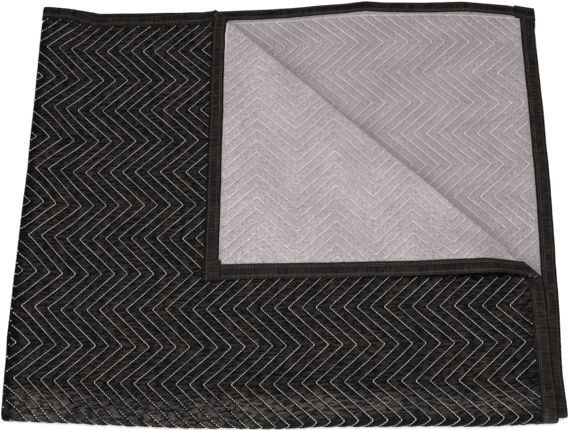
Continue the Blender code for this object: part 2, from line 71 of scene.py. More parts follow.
# Folds, as in the part, except that the flap's free edge is drawn up to 11 mm higher, and the far
# half of the top layer's right edge up to 4 mm further in
LAYER_HALF_GAP = 3.1
LEFT_HALF_GAP = 3.1
SECOND_HALF_GAP = 5.2
SECOND_INNER_RADIUS = 4.5
SLIP = 1.2
SHEAR_WIDTH = 100.0
LEFT_PUFF_WIDTH = 120.0
SECOND_PUFF_WIDTH = 110.0
CORNER_LINE = 1262.0
CORNER_RADIUS = 4.2
CORNER_PRESS_WIDTH = 100.0
CORNER_FROM_FIRST_FOLD = 200.0
CORNER_FROM_SECOND_FOLD = 60.0
CREST_W = 2.6
FLAP_LIFT_EDGE_Y = 267.0
FLAP_LIFT_DEPTH = 170.0
FLAP_LIFT_RAMP = 50.0
LEFT_SHIFT_WIDTH = 250.0
FAR_SHIFT_DEPTH = 300.0
NEAR_SHIFT_DEPTH = 250.0
CENTRE_X = 516.03
CENTRE_Y = 452.22
FIRST_FOLD_SHIFT = [
    {"y": 0.0, "x": 6.0},
    {"y": 70.0, "x": 3.0},
    {"y": 370.0, "x": 1.0},
    {"y": 900.0, "x": -4.0},
]
RIGHT_EDGE_SHIFT = [
    {"y": 0.0, "outer": -11.0, "inner": -8.0},
    {"y": 87.0, "outer": -10.0, "inner": -7.0},
    {"y": 205.0, "outer": -8.0, "inner": 0.6},
    {"y": 374.0, "outer": -6.0, "inner": 10.6},
    {"y": 486.0, "outer": -6.0, "inner": 15.6},
    {"y": 602.0, "outer": -8.0, "inner": 19.6},
    {"y": 909.0, "outer": -10.0, "inner": 24.6},
]
FAR_EDGE_SHIFT = [
    {"x": 0.0, "outer": 2.0, "inner": 0.0},
    {"x": 101.0, "outer": 0.0, "inner": -6.0},
    {"x": 325.0, "outer": 0.0, "inner": -13.0},
    {"x": 372.0, "outer": 9.0, "inner": -12.0},
    {"x": 432.0, "outer": 13.0, "inner": -10.0},
    {"x": 507.0, "outer": 13.0, "inner": -6.0},
    {"x": 583.0, "outer": 13.0, "inner": 3.0},
    {"x": 665.0, "outer": 13.0, "inner": 10.0},
    {"x": 863.0, "outer": 13.0, "inner": 10.0},
    {"x": 970.0, "outer": 13.0, "inner": -1.0},
    {"x": 1040.0, "outer": 13.0, "inner": -9.0},
]
NEAR_EDGE_SHIFT = [
    {"x": -9.0, "y": 8.0},
    {"x": 29.0, "y": 7.5},
    {"x": 86.0, "y": 8.5},
    {"x": 125.0, "y": 7.5},
    {"x": 173.0, "y": 4.5},
    {"x": 270.0, "y": 1.0},
    {"x": 375.0, "y": -3.0},
    {"x": 505.0, "y": -4.0},
    {"x": 565.0, "y": -1.0},
    {"x": 600.0, "y": 0.0},
    {"x": 889.0, "y": 0.0},
    {"x": 992.0, "y": 4.0},
]
SWELLS = [
    {"x": 0.0, "y": 900.0, "reach": 280.0, "share": 0.16},
]
FLAP_LIFT = [
    {"x": 500.0, "height": 0.0},
    {"x": 622.0, "height": 2.0},
    {"x": 742.0, "height": 8.0},
    {"x": 832.0, "height": 17.0},
    {"x": 897.0, "height": 21.0},
    {"x": 957.0, "height": 20.0},
    {"x": 1010.0, "height": 8.0},
]

# How far the drawn edges stand off the part's edges, which lie 1 to 9 mm inside or outside the
# photographed ones
TRIM_REACH = 60.0
LEFT_TRIM = [
    {"y": 0.0, "x": -4.0},
    {"y": 60.0, "x": -3.0},
    {"y": 110.0, "x": -4.5},
    {"y": 150.0, "x": -7.0},
    {"y": 205.0, "x": -6.5},
    {"y": 300.0, "x": -5.0},
    {"y": 420.0, "x": -4.5},
    {"y": 520.0, "x": -2.3},
    {"y": 900.0, "x": -2.5},
]
RIGHT_TRIM = [
    {"y": 250.0, "outer": -3.0, "inner": 0.0},
    {"y": 300.0, "outer": -6.0, "inner": -1.0},
    {"y": 370.0, "outer": -7.0, "inner": -2.0},
    {"y": 470.0, "outer": -6.5, "inner": -2.0},
    {"y": 565.0, "outer": -5.0, "inner": -3.3},
    {"y": 622.0, "outer": -4.4, "inner": -3.6},
    {"y": 680.0, "outer": -3.2, "inner": -3.6},
    {"y": 780.0, "outer": -2.0, "inner": -3.6},
    {"y": 860.0, "outer": 0.0, "inner": -3.6},
    {"y": 921.0, "outer": 2.0, "inner": -3.0},
]
FAR_TRIM = [
    {"x": 0.0, "outer": 2.0, "inner": 0.0},
    {"x": 35.0, "outer": 2.0, "inner": 0.0},
    {"x": 66.0, "outer": 3.0, "inner": 0.0},
    {"x": 109.0, "outer": -9.0, "inner": -9.0},
    {"x": 151.0, "outer": -8.0, "inner": -7.0},
    {"x": 194.0, "outer": -7.5, "inner": -5.0},
    {"x": 236.0, "outer": -4.0, "inner": -2.0},
    {"x": 279.0, "outer": 0.0, "inner": 0.0},
    {"x": 325.0, "outer": 1.0, "inner": 2.0},
    {"x": 407.0, "outer": 1.0, "inner": 4.0},
    {"x": 450.0, "outer": 1.0, "inner": 3.5},
    {"x": 535.0, "outer": 1.0, "inner": 4.5},
    {"x": 620.0, "outer": 1.0, "inner": 4.0},
    {"x": 662.0, "outer": 1.0, "inner": 7.0},
    {"x": 705.0, "outer": 1.0, "inner": 4.0},
    {"x": 790.0, "outer": 1.0, "inner": 2.2},
    {"x": 876.0, "outer": 1.0, "inner": 5.4},
    {"x": 961.0, "outer": 1.0, "inner": 4.3},
    {"x": 1003.0, "outer": 1.0, "inner": 0.3},
    {"x": 1046.0, "outer": 1.0, "inner": -3.5},
]

# Drawing of the cloths
LATTICE_LINES = 8           # points from one stitched line to the next
LATTICE_ROWS = 28           # rows of points from one row of corners to the next
COARSE_STEP = 24.0
RIM_STEP = 12.0
BAND_STEP = 5.0
BANDS = [15.0, 27.5, 30.3, 32.0, 34.0, 36.5]
LATTICE_FROM_EDGE = 38.0
FOLD_COLUMNS = 9
FOLD_ROWS = 13
CORNER_FOLD_LINES = 9
FOLD_STEP = 6.0
UNDER_FLAP = 40.0           # cloth this far under the flap can't be seen
SHOWN_PAST_FOLD = 30.0
CLEAR_OF_FOLD = 1.5         # fine points keep this far from the lines along the folds
FOLD_LINE_START, FOLD_LINE_STOP = 9.0, 8.0      # from the tape to the ends of the folds' lines
CORNER_FOLD_REACH = (-560.0, 430.0)
COARSE_START, COARSE_STOP = 50.0, 44.0          # from the cloth's edges to its coarse points
LINES_START, LINES_STOP = -4, 81                # stitched lines, counted along the long side
ROWS_START, ROWS_STOP = -2, 26                  # rows of corners, counted down the short side

# The stitched lines aren't quite even: how far they stand from their even places
LINES_ALONG = [
    {"u": 1000.0, "shift": -4.0},
    {"u": 1040.0, "shift": 2.5},
    {"u": 1130.0, "shift": 1.5},
    {"u": 1230.0, "shift": -0.5},
    {"u": 1342.0, "shift": -2.0},
    {"u": 1452.0, "shift": -2.0},
    {"u": 1562.0, "shift": 0.0},
    {"u": 1672.0, "shift": 2.0},
    {"u": 1787.0, "shift": 4.5},
    {"u": 1902.0, "shift": 8.5},
    {"u": 1957.0, "shift": 10.5},
    {"u": 2032.0, "shift": 12.0},
]
ROWS_UP = [
    {"x": 0.0, "fold": -13.0, "near": -10.0, "far": 0.0},
    {"x": 110.0, "fold": -13.0, "near": -4.0, "far": 1.0},
    {"x": 430.0, "fold": -13.0, "near": -3.0, "far": 4.0},
    {"x": 560.0, "fold": -3.0, "near": 0.0, "far": 7.5},
    {"x": 650.0, "fold": 0.0, "near": 0.0, "far": 8.5},
    {"x": 935.0, "fold": 0.0, "near": 3.5, "far": 8.5},
]
ROWS_CHANGE_OVER = 600.0
ROWS_FOLD_WIDTH = 75.0
LOWER_LAYER_SHARE = 0.2

# Unevenness of the laid cloth: how far it strays from its even place, over lumps of what size
WAVER, WAVER_SIZE = 0.9, 75.0
FINE_WAVER, FINE_WAVER_SIZE = 0.35, 24.0
BILLOW, BILLOW_LONG, BILLOW_WIDE = 0.9, 62.0, 50.0
FLAP_BILLOW = 1.1

# Quilting
CORNER_ROUND = 0.8
BLACK_GROOVE_W, BLACK_CREST_W = 1.15, 2.55
GREY_GROOVE_W, GREY_CREST_W = 1.5, 2.15
PUFF_FULLNESS = 2.4
PUCKER_LEAN = 0.2           # how far the puckers slant with the stitched lines
BLACK_PUCKER_DEPTH, GREY_PUCKER_DEPTH = 0.7, 0.14
LUMP_HEIGHT = 0.14
STITCHES_PER_RUN = 23       # from one corner of the zigzag to the next
BLACK_LINES_STOP, GREY_LINES_STOP = 77, 82      # no thread shows past these lines
BLACK_FROM_TAPE, GREY_FROM_TAPE = 1.5, 5.0      # thread starts this far inside the tape
BLACK_STITCH_SHARE, GREY_STITCH_SHARE = 0.9, 0.72
STITCH_WANDER = 0.03        # of a stitch's heading, in radians
STITCH_ASIDE = 0.07
THREAD_LOW, THREAD_HIGH = 0.02, 0.55            # over the cloth
GAP_V, GAP_FROM_U = 1211.0, 1740.0  # dark gap under the flap's raised edge


def ease(t):
    """0 to 1 with level ends."""
    t = np.clip(t, 0.0, 1.0)
    return t * t * (3.0 - 2.0 * t)


def read_table(rows, key, column, at):
    """A table's column at a place, straight between its rows."""
    return np.interp(at, [row[key] for row in rows], [row[column] for row in rows])


def uneven(u, v, size_u, size_v, seed):
    """Smooth unevenness from -1 to 1, with lumps of about this size."""
    heights = np.random.RandomState(seed).uniform(-1.0, 1.0, (256, 256))
    a, b = np.asarray(u) / size_u, np.asarray(v) / size_v
    i, j = np.floor(a).astype(int), np.floor(b).astype(int)
    s, t = ease(a - i), ease(b - j)
    low = heights[i % 256, j % 256] * (1 - s) + heights[(i + 1) % 256, j % 256] * s
    high = heights[i % 256, (j + 1) % 256] * (1 - s) + heights[(i + 1) % 256, (j + 1) % 256] * s
    return low * (1 - t) + high * t


def first_fold(u, w):
    """Lies one pair of layers on each other: gives x, and the side and share of the half gap."""
    turn = np.clip((u - FIRST_FOLD_U) / LEFT_HALF_GAP, -math.pi / 2, math.pi / 2)
    past = np.abs(u - FIRST_FOLD_U) - math.pi / 2 * LEFT_HALF_GAP
    flat = np.maximum(past, 0.0)
    x = np.where(past > 0.0, flat, -(LEFT_HALF_GAP + w) * np.cos(turn))
    return x, flat, np.sin(turn)


def half_gap(x, from_fold):
    """Half the distance between the layers of a pair."""
    near = 1.0 - ease(from_fold / SECOND_PUFF_WIDTH)
    open_gap = LAYER_HALF_GAP + (SECOND_HALF_GAP - LAYER_HALF_GAP) * near
    return LEFT_HALF_GAP + (open_gap - LEFT_HALF_GAP) * ease(x / LEFT_PUFF_WIDTH)


def pair_height(x, from_fold):
    """Middle of a pair above the middle of the stack, and its radius round the second fold."""
    near = 1.0 - ease(from_fold / SECOND_PUFF_WIDTH)
    return half_gap(x, from_fold) + LAYER_HALF_GAP + (SECOND_INNER_RADIUS - LAYER_HALF_GAP) * near


def arc_radius(x, side):
    """Radius by which the cloth's length is used up round the second fold."""
    return pair_height(x, 0.0) + SLIP * ease(x / SHEAR_WIDTH) * side * half_gap(x, 0.0)


def edge_trim(flat_x, flat_y, side):
    """How far the drawn cloth stands off the part's near its edges, in x and in y."""
    outer = (side + 1.0) / 2.0
    at_left = 1.0 - ease(flat_x / TRIM_REACH)
    at_right = ease(1.0 + (flat_x - LONG_SIDE + FIRST_FOLD_U + NIP_LINE) / TRIM_REACH)
    at_far = ease(1.0 + (flat_y - SHORT_SIDE + SECOND_FOLD_V + NIP_LINE) / TRIM_REACH)
    right = outer * read_table(RIGHT_TRIM, "y", "outer", flat_y)
    right += (1.0 - outer) * read_table(RIGHT_TRIM, "y", "inner", flat_y)
    far = outer * read_table(FAR_TRIM, "x", "outer", flat_x)
    far += (1.0 - outer) * read_table(FAR_TRIM, "x", "inner", flat_x)
    return at_left * read_table(LEFT_TRIM, "y", "x", flat_y) + at_right * right, at_far * far


def lay(u, v, w):
    """Both folds, and the edges' shifts, without the turned-back corner."""
    x, flat_x, side = first_fold(u, w)
    reach = v - SECOND_FOLD_V
    radius = arc_radius(flat_x, side)
    turn = np.clip(reach / radius, -math.pi / 2, math.pi / 2)
    flat_y = np.maximum(np.abs(reach) - math.pi / 2 * radius, 0.0)
    gap = half_gap(flat_x, flat_y)
    middle = pair_height(flat_x, flat_y)
    offset = side * (gap + w)
    y = np.where(flat_y > 0.0, flat_y, -(middle + offset) * np.cos(turn))
    z = middle + gap + FLOOR_W + (middle + offset) * np.sin(turn)

    outer = (side + 1.0) / 2.0
    right = outer * read_table(RIGHT_EDGE_SHIFT, "y", "outer", flat_y)
    right += (1.0 - outer) * read_table(RIGHT_EDGE_SHIFT, "y", "inner", flat_y)
    left = read_table(FIRST_FOLD_SHIFT, "y", "x", flat_y)
    far = outer * read_table(FAR_EDGE_SHIFT, "x", "outer", flat_x)
    far += (1.0 - outer) * read_table(FAR_EDGE_SHIFT, "x", "inner", flat_x)
    near = read_table(NEAR_EDGE_SHIFT, "x", "y", x)
    full_y = SHORT_SIDE - SECOND_FOLD_V
    full_x = LONG_SIDE - FIRST_FOLD_U
    x = x + left * (1.0 - ease(flat_x / LEFT_SHIFT_WIDTH)) + right * flat_x / full_x
    y = y + far * ease((flat_y - full_y + FAR_SHIFT_DEPTH) / FAR_SHIFT_DEPTH)
    y = y + near * (1.0 - ease(flat_y / NEAR_SHIFT_DEPTH))
    trim_x, trim_y = edge_trim(flat_x, flat_y, side)
    x, y = x + trim_x, y + trim_y
    for swell in SWELLS:
        away = np.hypot(x - swell["x"], y - swell["y"]) / swell["reach"]
        z = z * (1.0 + swell["share"] * (1.0 - ease(away)))
    return x, y, z


def corner_start():
    """Where the corner's fold leaves the layer, measured square to the fold line."""
    return CORNER_LINE / math.sqrt(2.0) - CORNER_RADIUS - CREST_W


def in_top_corner(u, v):
    """Cloth of the top layer that the corner's fold can reach."""
    beyond_first = u > FIRST_FOLD_U + CORNER_FROM_FIRST_FOLD
    return beyond_first & (v > SECOND_FOLD_V + CORNER_FROM_SECOND_FOLD)


def fold_cloth(u, v, w):
    """Cloth coordinates to the folded pad, as an array of points."""
    u, v, w = (np.asarray(value, dtype=float) for value in (u, v, w))
    x, y, z = lay(u, v, w)
    middle_z = z - w
    across = (x + y) / math.sqrt(2.0)
    along = (x - y) / math.sqrt(2.0)
    radius = CORNER_RADIUS
    start = corner_start()
    turn = np.clip((across - start) / radius, 0.0, math.pi)
    past = np.maximum(across - start - math.pi * radius, 0.0)
    in_turn = past <= 0.0
    turned = in_top_corner(u, v) & (across > start)
    new_across = np.where(in_turn, start + (radius - w) * np.sin(turn), start - past)
    flat_radius = LAYER_HALF_GAP + (radius - LAYER_HALF_GAP) * (1.0 - ease(past / CORNER_PRESS_WIDTH))
    new_z = np.where(in_turn, radius - (radius - w) * np.cos(turn), 2.0 * flat_radius - w)
    new_x = (new_across + along) / math.sqrt(2.0)
    new_y = (new_across - along) / math.sqrt(2.0)
    lift = read_table(FLAP_LIFT, "x", "height", new_x)
    lift = lift * (1.0 - ease((new_y - FLAP_LIFT_EDGE_Y) / FLAP_LIFT_DEPTH))
    lift = lift * np.clip(past / FLAP_LIFT_RAMP, 0.0, 1.0)
    x = np.where(turned, new_x, x)
    y = np.where(turned, new_y, y)
    z = np.where(turned, middle_z + new_z + lift, z)
    size, fine_size = WAVER_SIZE, FINE_WAVER_SIZE
    x = x + WAVER * uneven(u, v, size, size, 3) + FINE_WAVER * uneven(u, v, fine_size, fine_size, 4)
    y = y + WAVER * uneven(u, v, size, size, 5) + FINE_WAVER * uneven(u, v, fine_size, fine_size, 6)
    z = np.maximum(z + billow(u, v, past * turned), 0.0)
    return np.stack([x - CENTRE_X, y - CENTRE_Y, z], axis=-1)


def billow(u, v, past):
    """How far the uneven filling lifts the layers that show."""
    filling = 0.5 + 0.5 * uneven(u, v, BILLOW_LONG, BILLOW_WIDE, 7)
    top = ease((u - FIRST_FOLD_U - 10.0) / 60.0) * ease((v - SECOND_FOLD_V - 25.0) / 60.0)
    on_flap = ease(past / 40.0)
    inside = ease((LONG_SIDE - u) / 60.0) * ease((SHORT_SIDE - v) / 60.0)
    return BILLOW * top * (filling * (0.4 + 0.6 * inside) + FLAP_BILLOW * on_flap)


def unlay(x, y):
    """Cloth points of the top layer that lie at x, y before the corner is turned."""
    u = FIRST_FOLD_U + x
    v = SECOND_FOLD_V + y
    for _ in range(6):
        at_x, at_y, _z = lay(u, v, np.zeros_like(u))
        u = u + x - at_x
        v = v + y - at_y
    return u, v


def turned_across(u, v):
    """How far the flat cloth lies past the start of the corner fold, in its own plane."""
    x, y, _z = lay(u, v, np.zeros_like(u))
    return (x + y) / math.sqrt(2.0) - corner_start()


def under_flap(u, v):
    """True well inside the part of the top layer that the flap hides."""
    x, y, _z = lay(u, v, np.zeros_like(u))
    left = CORNER_LINE - (SHORT_SIDE - SECOND_FOLD_V) + UNDER_FLAP
    near = CORNER_LINE - (LONG_SIDE - FIRST_FOLD_U) + UNDER_FLAP
    return (x > left) & (y > near)


def zigzag(v):
    """How far a stitched line stands from its leftmost corner at v, with its corners rounded."""
    period = (v - CORNER_ROW_V) / (2.0 * HALF_PERIOD)
    swing = ZIGZAG_SWING * (1.0 - np.abs(1.0 - 2.0 * (period - np.floor(period))))
    from_corner = np.minimum(swing, ZIGZAG_SWING - swing)
    rounding = np.hypot(from_corner, CORNER_ROUND) - from_corner
    return swing + np.where(swing < ZIGZAG_SWING / 2.0, rounding, -rounding)


def line_shift(u, v):
    """How far the stitched lines stand off their even places, along u and along v."""
    x = np.abs(u - FIRST_FOLD_U)
    y = v - SECOND_FOLD_V
    side = np.where(u > FIRST_FOLD_U - 12.0, 1.0, -1.0)
    far = ease(y / ROWS_CHANGE_OVER)
    up = (1.0 - far) * read_table(ROWS_UP, "x", "near", x) + far * read_table(ROWS_UP, "x", "far", x)
    last_run = (1.0 - ease(y / ROWS_FOLD_WIDTH)) * read_table(ROWS_UP, "x", "fold", x)
    share = np.where(u > FIRST_FOLD_U, 1.0, LOWER_LAYER_SHARE)
    trim_x, trim_y = edge_trim(x, np.abs(y), side)
    along = read_table(LINES_ALONG, "u", "shift", u) - last_run * share - side * trim_x
    return along, (up + last_run) * share - trim_y


def even_place(u, v):
    """Where a place of the cloth would be if the stitched lines were even."""
    even_u, even_v = u, v
    for _ in range(5):
        along, up = line_shift(even_u, even_v)
        even_u, even_v = u - along, v - up
    return even_u, even_v


def slope(v):
    """Which way the stitched lines lean at v, 1 or -1."""
    period = (v - CORNER_ROW_V) / (2.0 * HALF_PERIOD)
    return np.where(period - np.floor(period) < 0.5, 1.0, -1.0)


def quilt_relief(u, v, face):
    """Height of the puffed cloth between its stitched lines, with the puckers the thread pulls."""
    even_u, even_v = even_place(u, v)
    phase = (even_u - FIRST_CORNER_U - zigzag(even_v)) / LINE_PITCH
    share = phase - np.floor(phase)
    puff = 1.0 - np.abs(1.0 - 2.0 * share)
    puff = 1.0 - (1.0 - puff) ** PUFF_FULLNESS
    tilted = v + PUCKER_LEAN * slope(even_v) * share * LINE_PITCH
    pucker = 1.0 - 2.2 * np.abs(uneven(u, tilted, 18.0, 7.0, 11))
    fine = uneven(u, tilted, 11.0, 5.2, 12)
    patch = 0.45 + 0.55 * uneven(u, v, 95.0, 70.0, 13)
    if face == "black":
        low, high, depth = BLACK_GROOVE_W, BLACK_CREST_W, BLACK_PUCKER_DEPTH
    else:
        low, high, depth = GREY_GROOVE_W, GREY_CREST_W, GREY_PUCKER_DEPTH
    lump = LUMP_HEIGHT * uneven(u, v, 20.0, 14.0, 14)
    wrinkle = depth * (0.35 + 0.65 * patch) * (pucker + 0.4 * fine)
    return low + (high - low) * puff + (wrinkle + lump) * np.sqrt(puff)


def shown(u, v, face):
    """Where a face of the cloth can be seen and is drawn finely."""
    edge = LATTICE_FROM_EDGE
    clear = (u > edge) & (u < LONG_SIDE - edge) & (v > edge) & (v < SHORT_SIDE - edge)
    from_fold = np.abs(u - FIRST_FOLD_U) - math.pi / 2 * LEFT_HALF_GAP
    clear &= from_fold > CLEAR_OF_FOLD
    past = turned_across(u, v)
    past_fold = past > math.pi * CORNER_RADIUS + CLEAR_OF_FOLD
    if face == "black":
        under = SECOND_FOLD_V - math.pi / 2 * arc_radius(LONG_SIDE, 1.0)
        top = (u > FIRST_FOLD_U) & (v > under) & (past < -CLEAR_OF_FOLD)
        return clear & top & ~under_flap(u, v)
    flap = (u > FIRST_FOLD_U) & (v > SECOND_FOLD_V) & past_fold
    below = (u < FIRST_FOLD_U) & (v > SECOND_FOLD_V) & (past > -SHOWN_PAST_FOLD)
    return clear & (flap | below)


def face_height(u, v, face):
    """Distance of a cloth's outer face from the middle of the pad."""
    edge = np.minimum(np.minimum(u, LONG_SIDE - u), np.minimum(v, SHORT_SIDE - v))
    plain = np.full_like(u, PLAIN_W)
    relief = quilt_relief(u, v, face)
    if face == "black":
        under = SECOND_FOLD_V - math.pi / 2 * arc_radius(LONG_SIDE, 1.0)
        plain = np.where((u >= FIRST_FOLD_U) & (v < under), FLOOR_W, plain)
        puffed = (u > FIRST_FOLD_U) * ease((v - under - 2.0) / 8.0)
    else:
        puffed = (v > SECOND_FOLD_V) * np.ones_like(u)
    from_fold = np.abs(u - FIRST_FOLD_U) - math.pi / 2 * LEFT_HALF_GAP
    puffed = puffed * ease((from_fold + 2.0) / 9.0)
    past = turned_across(u, v)
    in_corner = in_top_corner(u, v) & (past > -6.0) & (past < math.pi * CORNER_RADIUS + 6.0)
    puffed = np.where(in_corner, puffed * 0.5, puffed)
    height = plain + (relief - plain) * puffed
    return BOUND_W + (height - BOUND_W) * ease((edge - NIP_LINE + 1.0) / 6.0)


def rim_places():
    """Points round the cloths' edge, in order, the same for every face."""
    low, high_u, high_v = PANEL_INSET, LONG_SIDE - PANEL_INSET, SHORT_SIDE - PANEL_INSET
    along_u = np.linspace(low, high_u, int(LONG_SIDE / RIM_STEP))
    along_v = np.linspace(low, high_v, int(SHORT_SIDE / RIM_STEP))
    near = [(u, low) for u in along_u[:-1]]
    right = [(high_u, v) for v in along_v[:-1]]
    far = [(u, high_v) for u in along_u[:0:-1]]
    left = [(low, v) for v in along_v[:0:-1]]
    return near + right + far + left


def fold_places():
    """Lines of points along the three folds, each with its own edges."""
    lines = []
    first = NIP_LINE + FOLD_LINE_START
    last_u, last_v = (side - NIP_LINE - FOLD_LINE_STOP for side in (LONG_SIDE, SHORT_SIDE))
    rows = np.arange(first, last_v, FOLD_STEP)
    for turn in np.linspace(-math.pi / 2, math.pi / 2, FOLD_COLUMNS):
        u = FIRST_FOLD_U + LEFT_HALF_GAP * turn
        lines.append(np.stack([np.full_like(rows, u), rows], axis=1))
    past = np.linspace(0.0, math.pi * CORNER_RADIUS, CORNER_FOLD_LINES)
    steps = np.arange(*CORNER_FOLD_REACH, FOLD_STEP)
    for reach in past:
        across = corner_start() + reach
        u, v = unlay((across + steps) / math.sqrt(2.0), (across - steps) / math.sqrt(2.0))
        keep = (u < last_u) & (v < last_v)
        lines.append(np.stack([u[keep], v[keep]], axis=1))
    return lines


def second_fold_places(face):
    """Rows of points round the second fold, for cloth that isn't drawn finely there."""
    lines = []
    last = LONG_SIDE - NIP_LINE - FOLD_LINE_STOP
    columns = np.arange(NIP_LINE + FOLD_LINE_START, last, 2.0 * FOLD_STEP)
    columns = columns[np.abs(columns - FIRST_FOLD_U) > math.pi / 2 * LEFT_HALF_GAP + 2.0]
    if face == "black":
        columns = columns[columns < FIRST_FOLD_U]
    _x, flat_x, side = first_fold(columns, np.zeros_like(columns))
    for turn in np.linspace(-math.pi / 2, math.pi / 2, FOLD_ROWS):
        lines.append(np.stack([columns, SECOND_FOLD_V + turn * arc_radius(flat_x, side)], axis=1))
    return lines


def band_places(step):
    """Rings of points beside the edges, where the tape nips the cloths."""
    places = []
    for inset in BANDS:
        along_u = np.arange(inset, LONG_SIDE - inset, step)
        along_v = np.arange(inset, SHORT_SIDE - inset, step)
        for v in (inset, SHORT_SIDE - inset):
            places.append(np.stack([along_u, np.full_like(along_u, v)], axis=1))
        for u in (inset, LONG_SIDE - inset):
            places.append(np.stack([np.full_like(along_v, u), along_v], axis=1))
    return np.concatenate(places)


def clear_of_folds(u, v, margin):
    """True for points that keep a margin from the lines along the folds."""
    from_first = np.abs(u - FIRST_FOLD_U) - math.pi / 2 * LEFT_HALF_GAP
    past = turned_across(u, v)
    at_corner = in_top_corner(u, v) & (past > -margin) & (past < math.pi * CORNER_RADIUS + margin)
    return (from_first > margin) & ~at_corner


def lattice_places(face):
    """Points that follow the stitched lines, where a face shows."""
    rows = np.arange(ROWS_START * LATTICE_ROWS, ROWS_STOP * LATTICE_ROWS)
    v = (CORNER_ROW_V - rows * HALF_PERIOD / LATTICE_ROWS)[:, None]
    lines = np.arange(LINES_START * LATTICE_LINES, LINES_STOP * LATTICE_LINES)
    u = FIRST_CORNER_U + lines[None, :] * LINE_PITCH / LATTICE_LINES + zigzag(v)
    u, v = u.ravel(), (v + 0.0 * u).ravel()
    along, up = line_shift(u, v)
    u, v = u + along, v + up
    keep = shown(u, v, face)
    return np.stack([u[keep], v[keep]], axis=1)


def coarse_places(face):
    """Points of the cloth that can't be seen."""
    u, v = np.meshgrid(
        np.arange(COARSE_START, LONG_SIDE - COARSE_STOP, COARSE_STEP),
        np.arange(COARSE_START, SHORT_SIDE - COARSE_STOP, COARSE_STEP),
    )
    u, v = u.ravel(), v.ravel()
    keep = clear_of_folds(u, v, 5.0)
    _x, flat_x, side = first_fold(u, np.zeros_like(u))
    keep &= np.abs(v - SECOND_FOLD_V) > math.pi / 2 * arc_radius(flat_x, side) + 4.0
    if face:
        keep &= ~shown(u, v, face)
    return np.stack([u[keep], v[keep]], axis=1)


def drawn_sheet(face):
    """Triangulates one face of a cloth, or its inner face if face is None. The rim comes first."""
    rim = rim_places()
    count = len(rim)
    places = [np.array(rim)]
    edges = [(i, (i + 1) % count) for i in range(count)]
    for line in fold_places() + second_fold_places(face):
        edges += [(count + i, count + i + 1) for i in range(len(line) - 1)]
        places.append(line)
        count += len(line)
    bands = band_places(BAND_STEP if face else COARSE_STEP)
    places.append(bands[clear_of_folds(bands[:, 0], bands[:, 1], 1.0)])
    places.append(coarse_places(face))
    if face:
        places.append(lattice_places(face))
    points = [Vector(place) for place in np.concatenate(places).tolist()]
    verts, _edges, faces, *_rest = delaunay_2d_cdt(points, edges, [], 0, 0.001)
    flat = np.array([(p.x, p.y) for p in verts])
    return flat, np.array(faces)


def rim_loop(flat):
    """Numbers of the points round the edge, in order."""
    middle = np.array([LONG_SIDE, SHORT_SIDE]) / 2.0
    low, high_u, high_v = PANEL_INSET, LONG_SIDE - PANEL_INSET, SHORT_SIDE - PANEL_INSET
    u, v = flat[:, 0], flat[:, 1]
    slack = 0.01
    on = (u < low + slack) | (u > high_u - slack) | (v < low + slack) | (v > high_v - slack)
    rim = np.flatnonzero(on)
    angle = np.arctan2(v[rim] - middle[1], u[rim] - middle[0])
    return rim[np.argsort(angle)]


def add_piece(name, points, faces, flat, material):
    """Makes a mesh piece with its faces pointing out, and keeps its flat places as UVs."""
    points = np.asarray(points) * MM
    faces = np.asarray(faces)
    a, b, c = points[faces[:, 0]], points[faces[:, 1]], points[faces[:, 2]]
    if np.einsum("ij,ij->i", a, np.cross(b, c)).sum() < 0.0:
        faces = faces[:, ::-1]
    mesh = bpy.data.meshes.new(name)
    mesh.from_pydata(points.tolist(), [], faces.tolist())
    mesh.polygons.foreach_set("use_smooth", np.ones(len(mesh.polygons), dtype=bool))
    layer = mesh.uv_layers.new(name="cloth")
    corners = np.empty(len(mesh.loops), dtype=np.int64)
    mesh.loops.foreach_get("vertex_index", corners)
    layer.data.foreach_set("uv", (np.asarray(flat) * MM)[corners].ravel().astype(np.float32))
    mesh.materials.append(material)
    piece = bpy.data.objects.new(name, mesh)
    bpy.context.collection.objects.link(piece)
    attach(piece, "root")
    return piece


def make_cloth(name, face, material):
    """One of the two cloths, closed round its edge."""
    sign = 1.0 if face == "black" else -1.0
    outer, outer_faces = drawn_sheet(face)
    inner, inner_faces = drawn_sheet(None)
    outer_w = sign * face_height(outer[:, 0], outer[:, 1], face)
    inner_w = np.full(len(inner), sign * PANEL_GAP / 2.0)
    points = np.concatenate([
        fold_cloth(outer[:, 0], outer[:, 1], outer_w),
        fold_cloth(inner[:, 0], inner[:, 1], inner_w),
    ])
    shift = len(outer)
    loop_a, loop_b = rim_loop(outer), rim_loop(inner) + shift
    next_a, next_b = np.roll(loop_a, -1), np.roll(loop_b, -1)
    faces = np.concatenate([
        outer_faces,
        inner_faces[:, ::-1] + shift,
        np.stack([next_a, loop_a, loop_b], axis=1),
        np.stack([next_a, loop_b, next_b], axis=1),
    ])
    flat = np.concatenate([outer, inner])
    even_u, even_v = even_place(flat[:, 0], flat[:, 1])
    return add_piece(name, points, faces, np.stack([even_u, even_v], axis=1), material)


BEAD_RINGS = [-0.5, -0.27, 0.27, 0.5]   # along a stitch, as shares of its length
BEAD_SHOULDER = 0.1
BEAD_DEPTH = 0.3


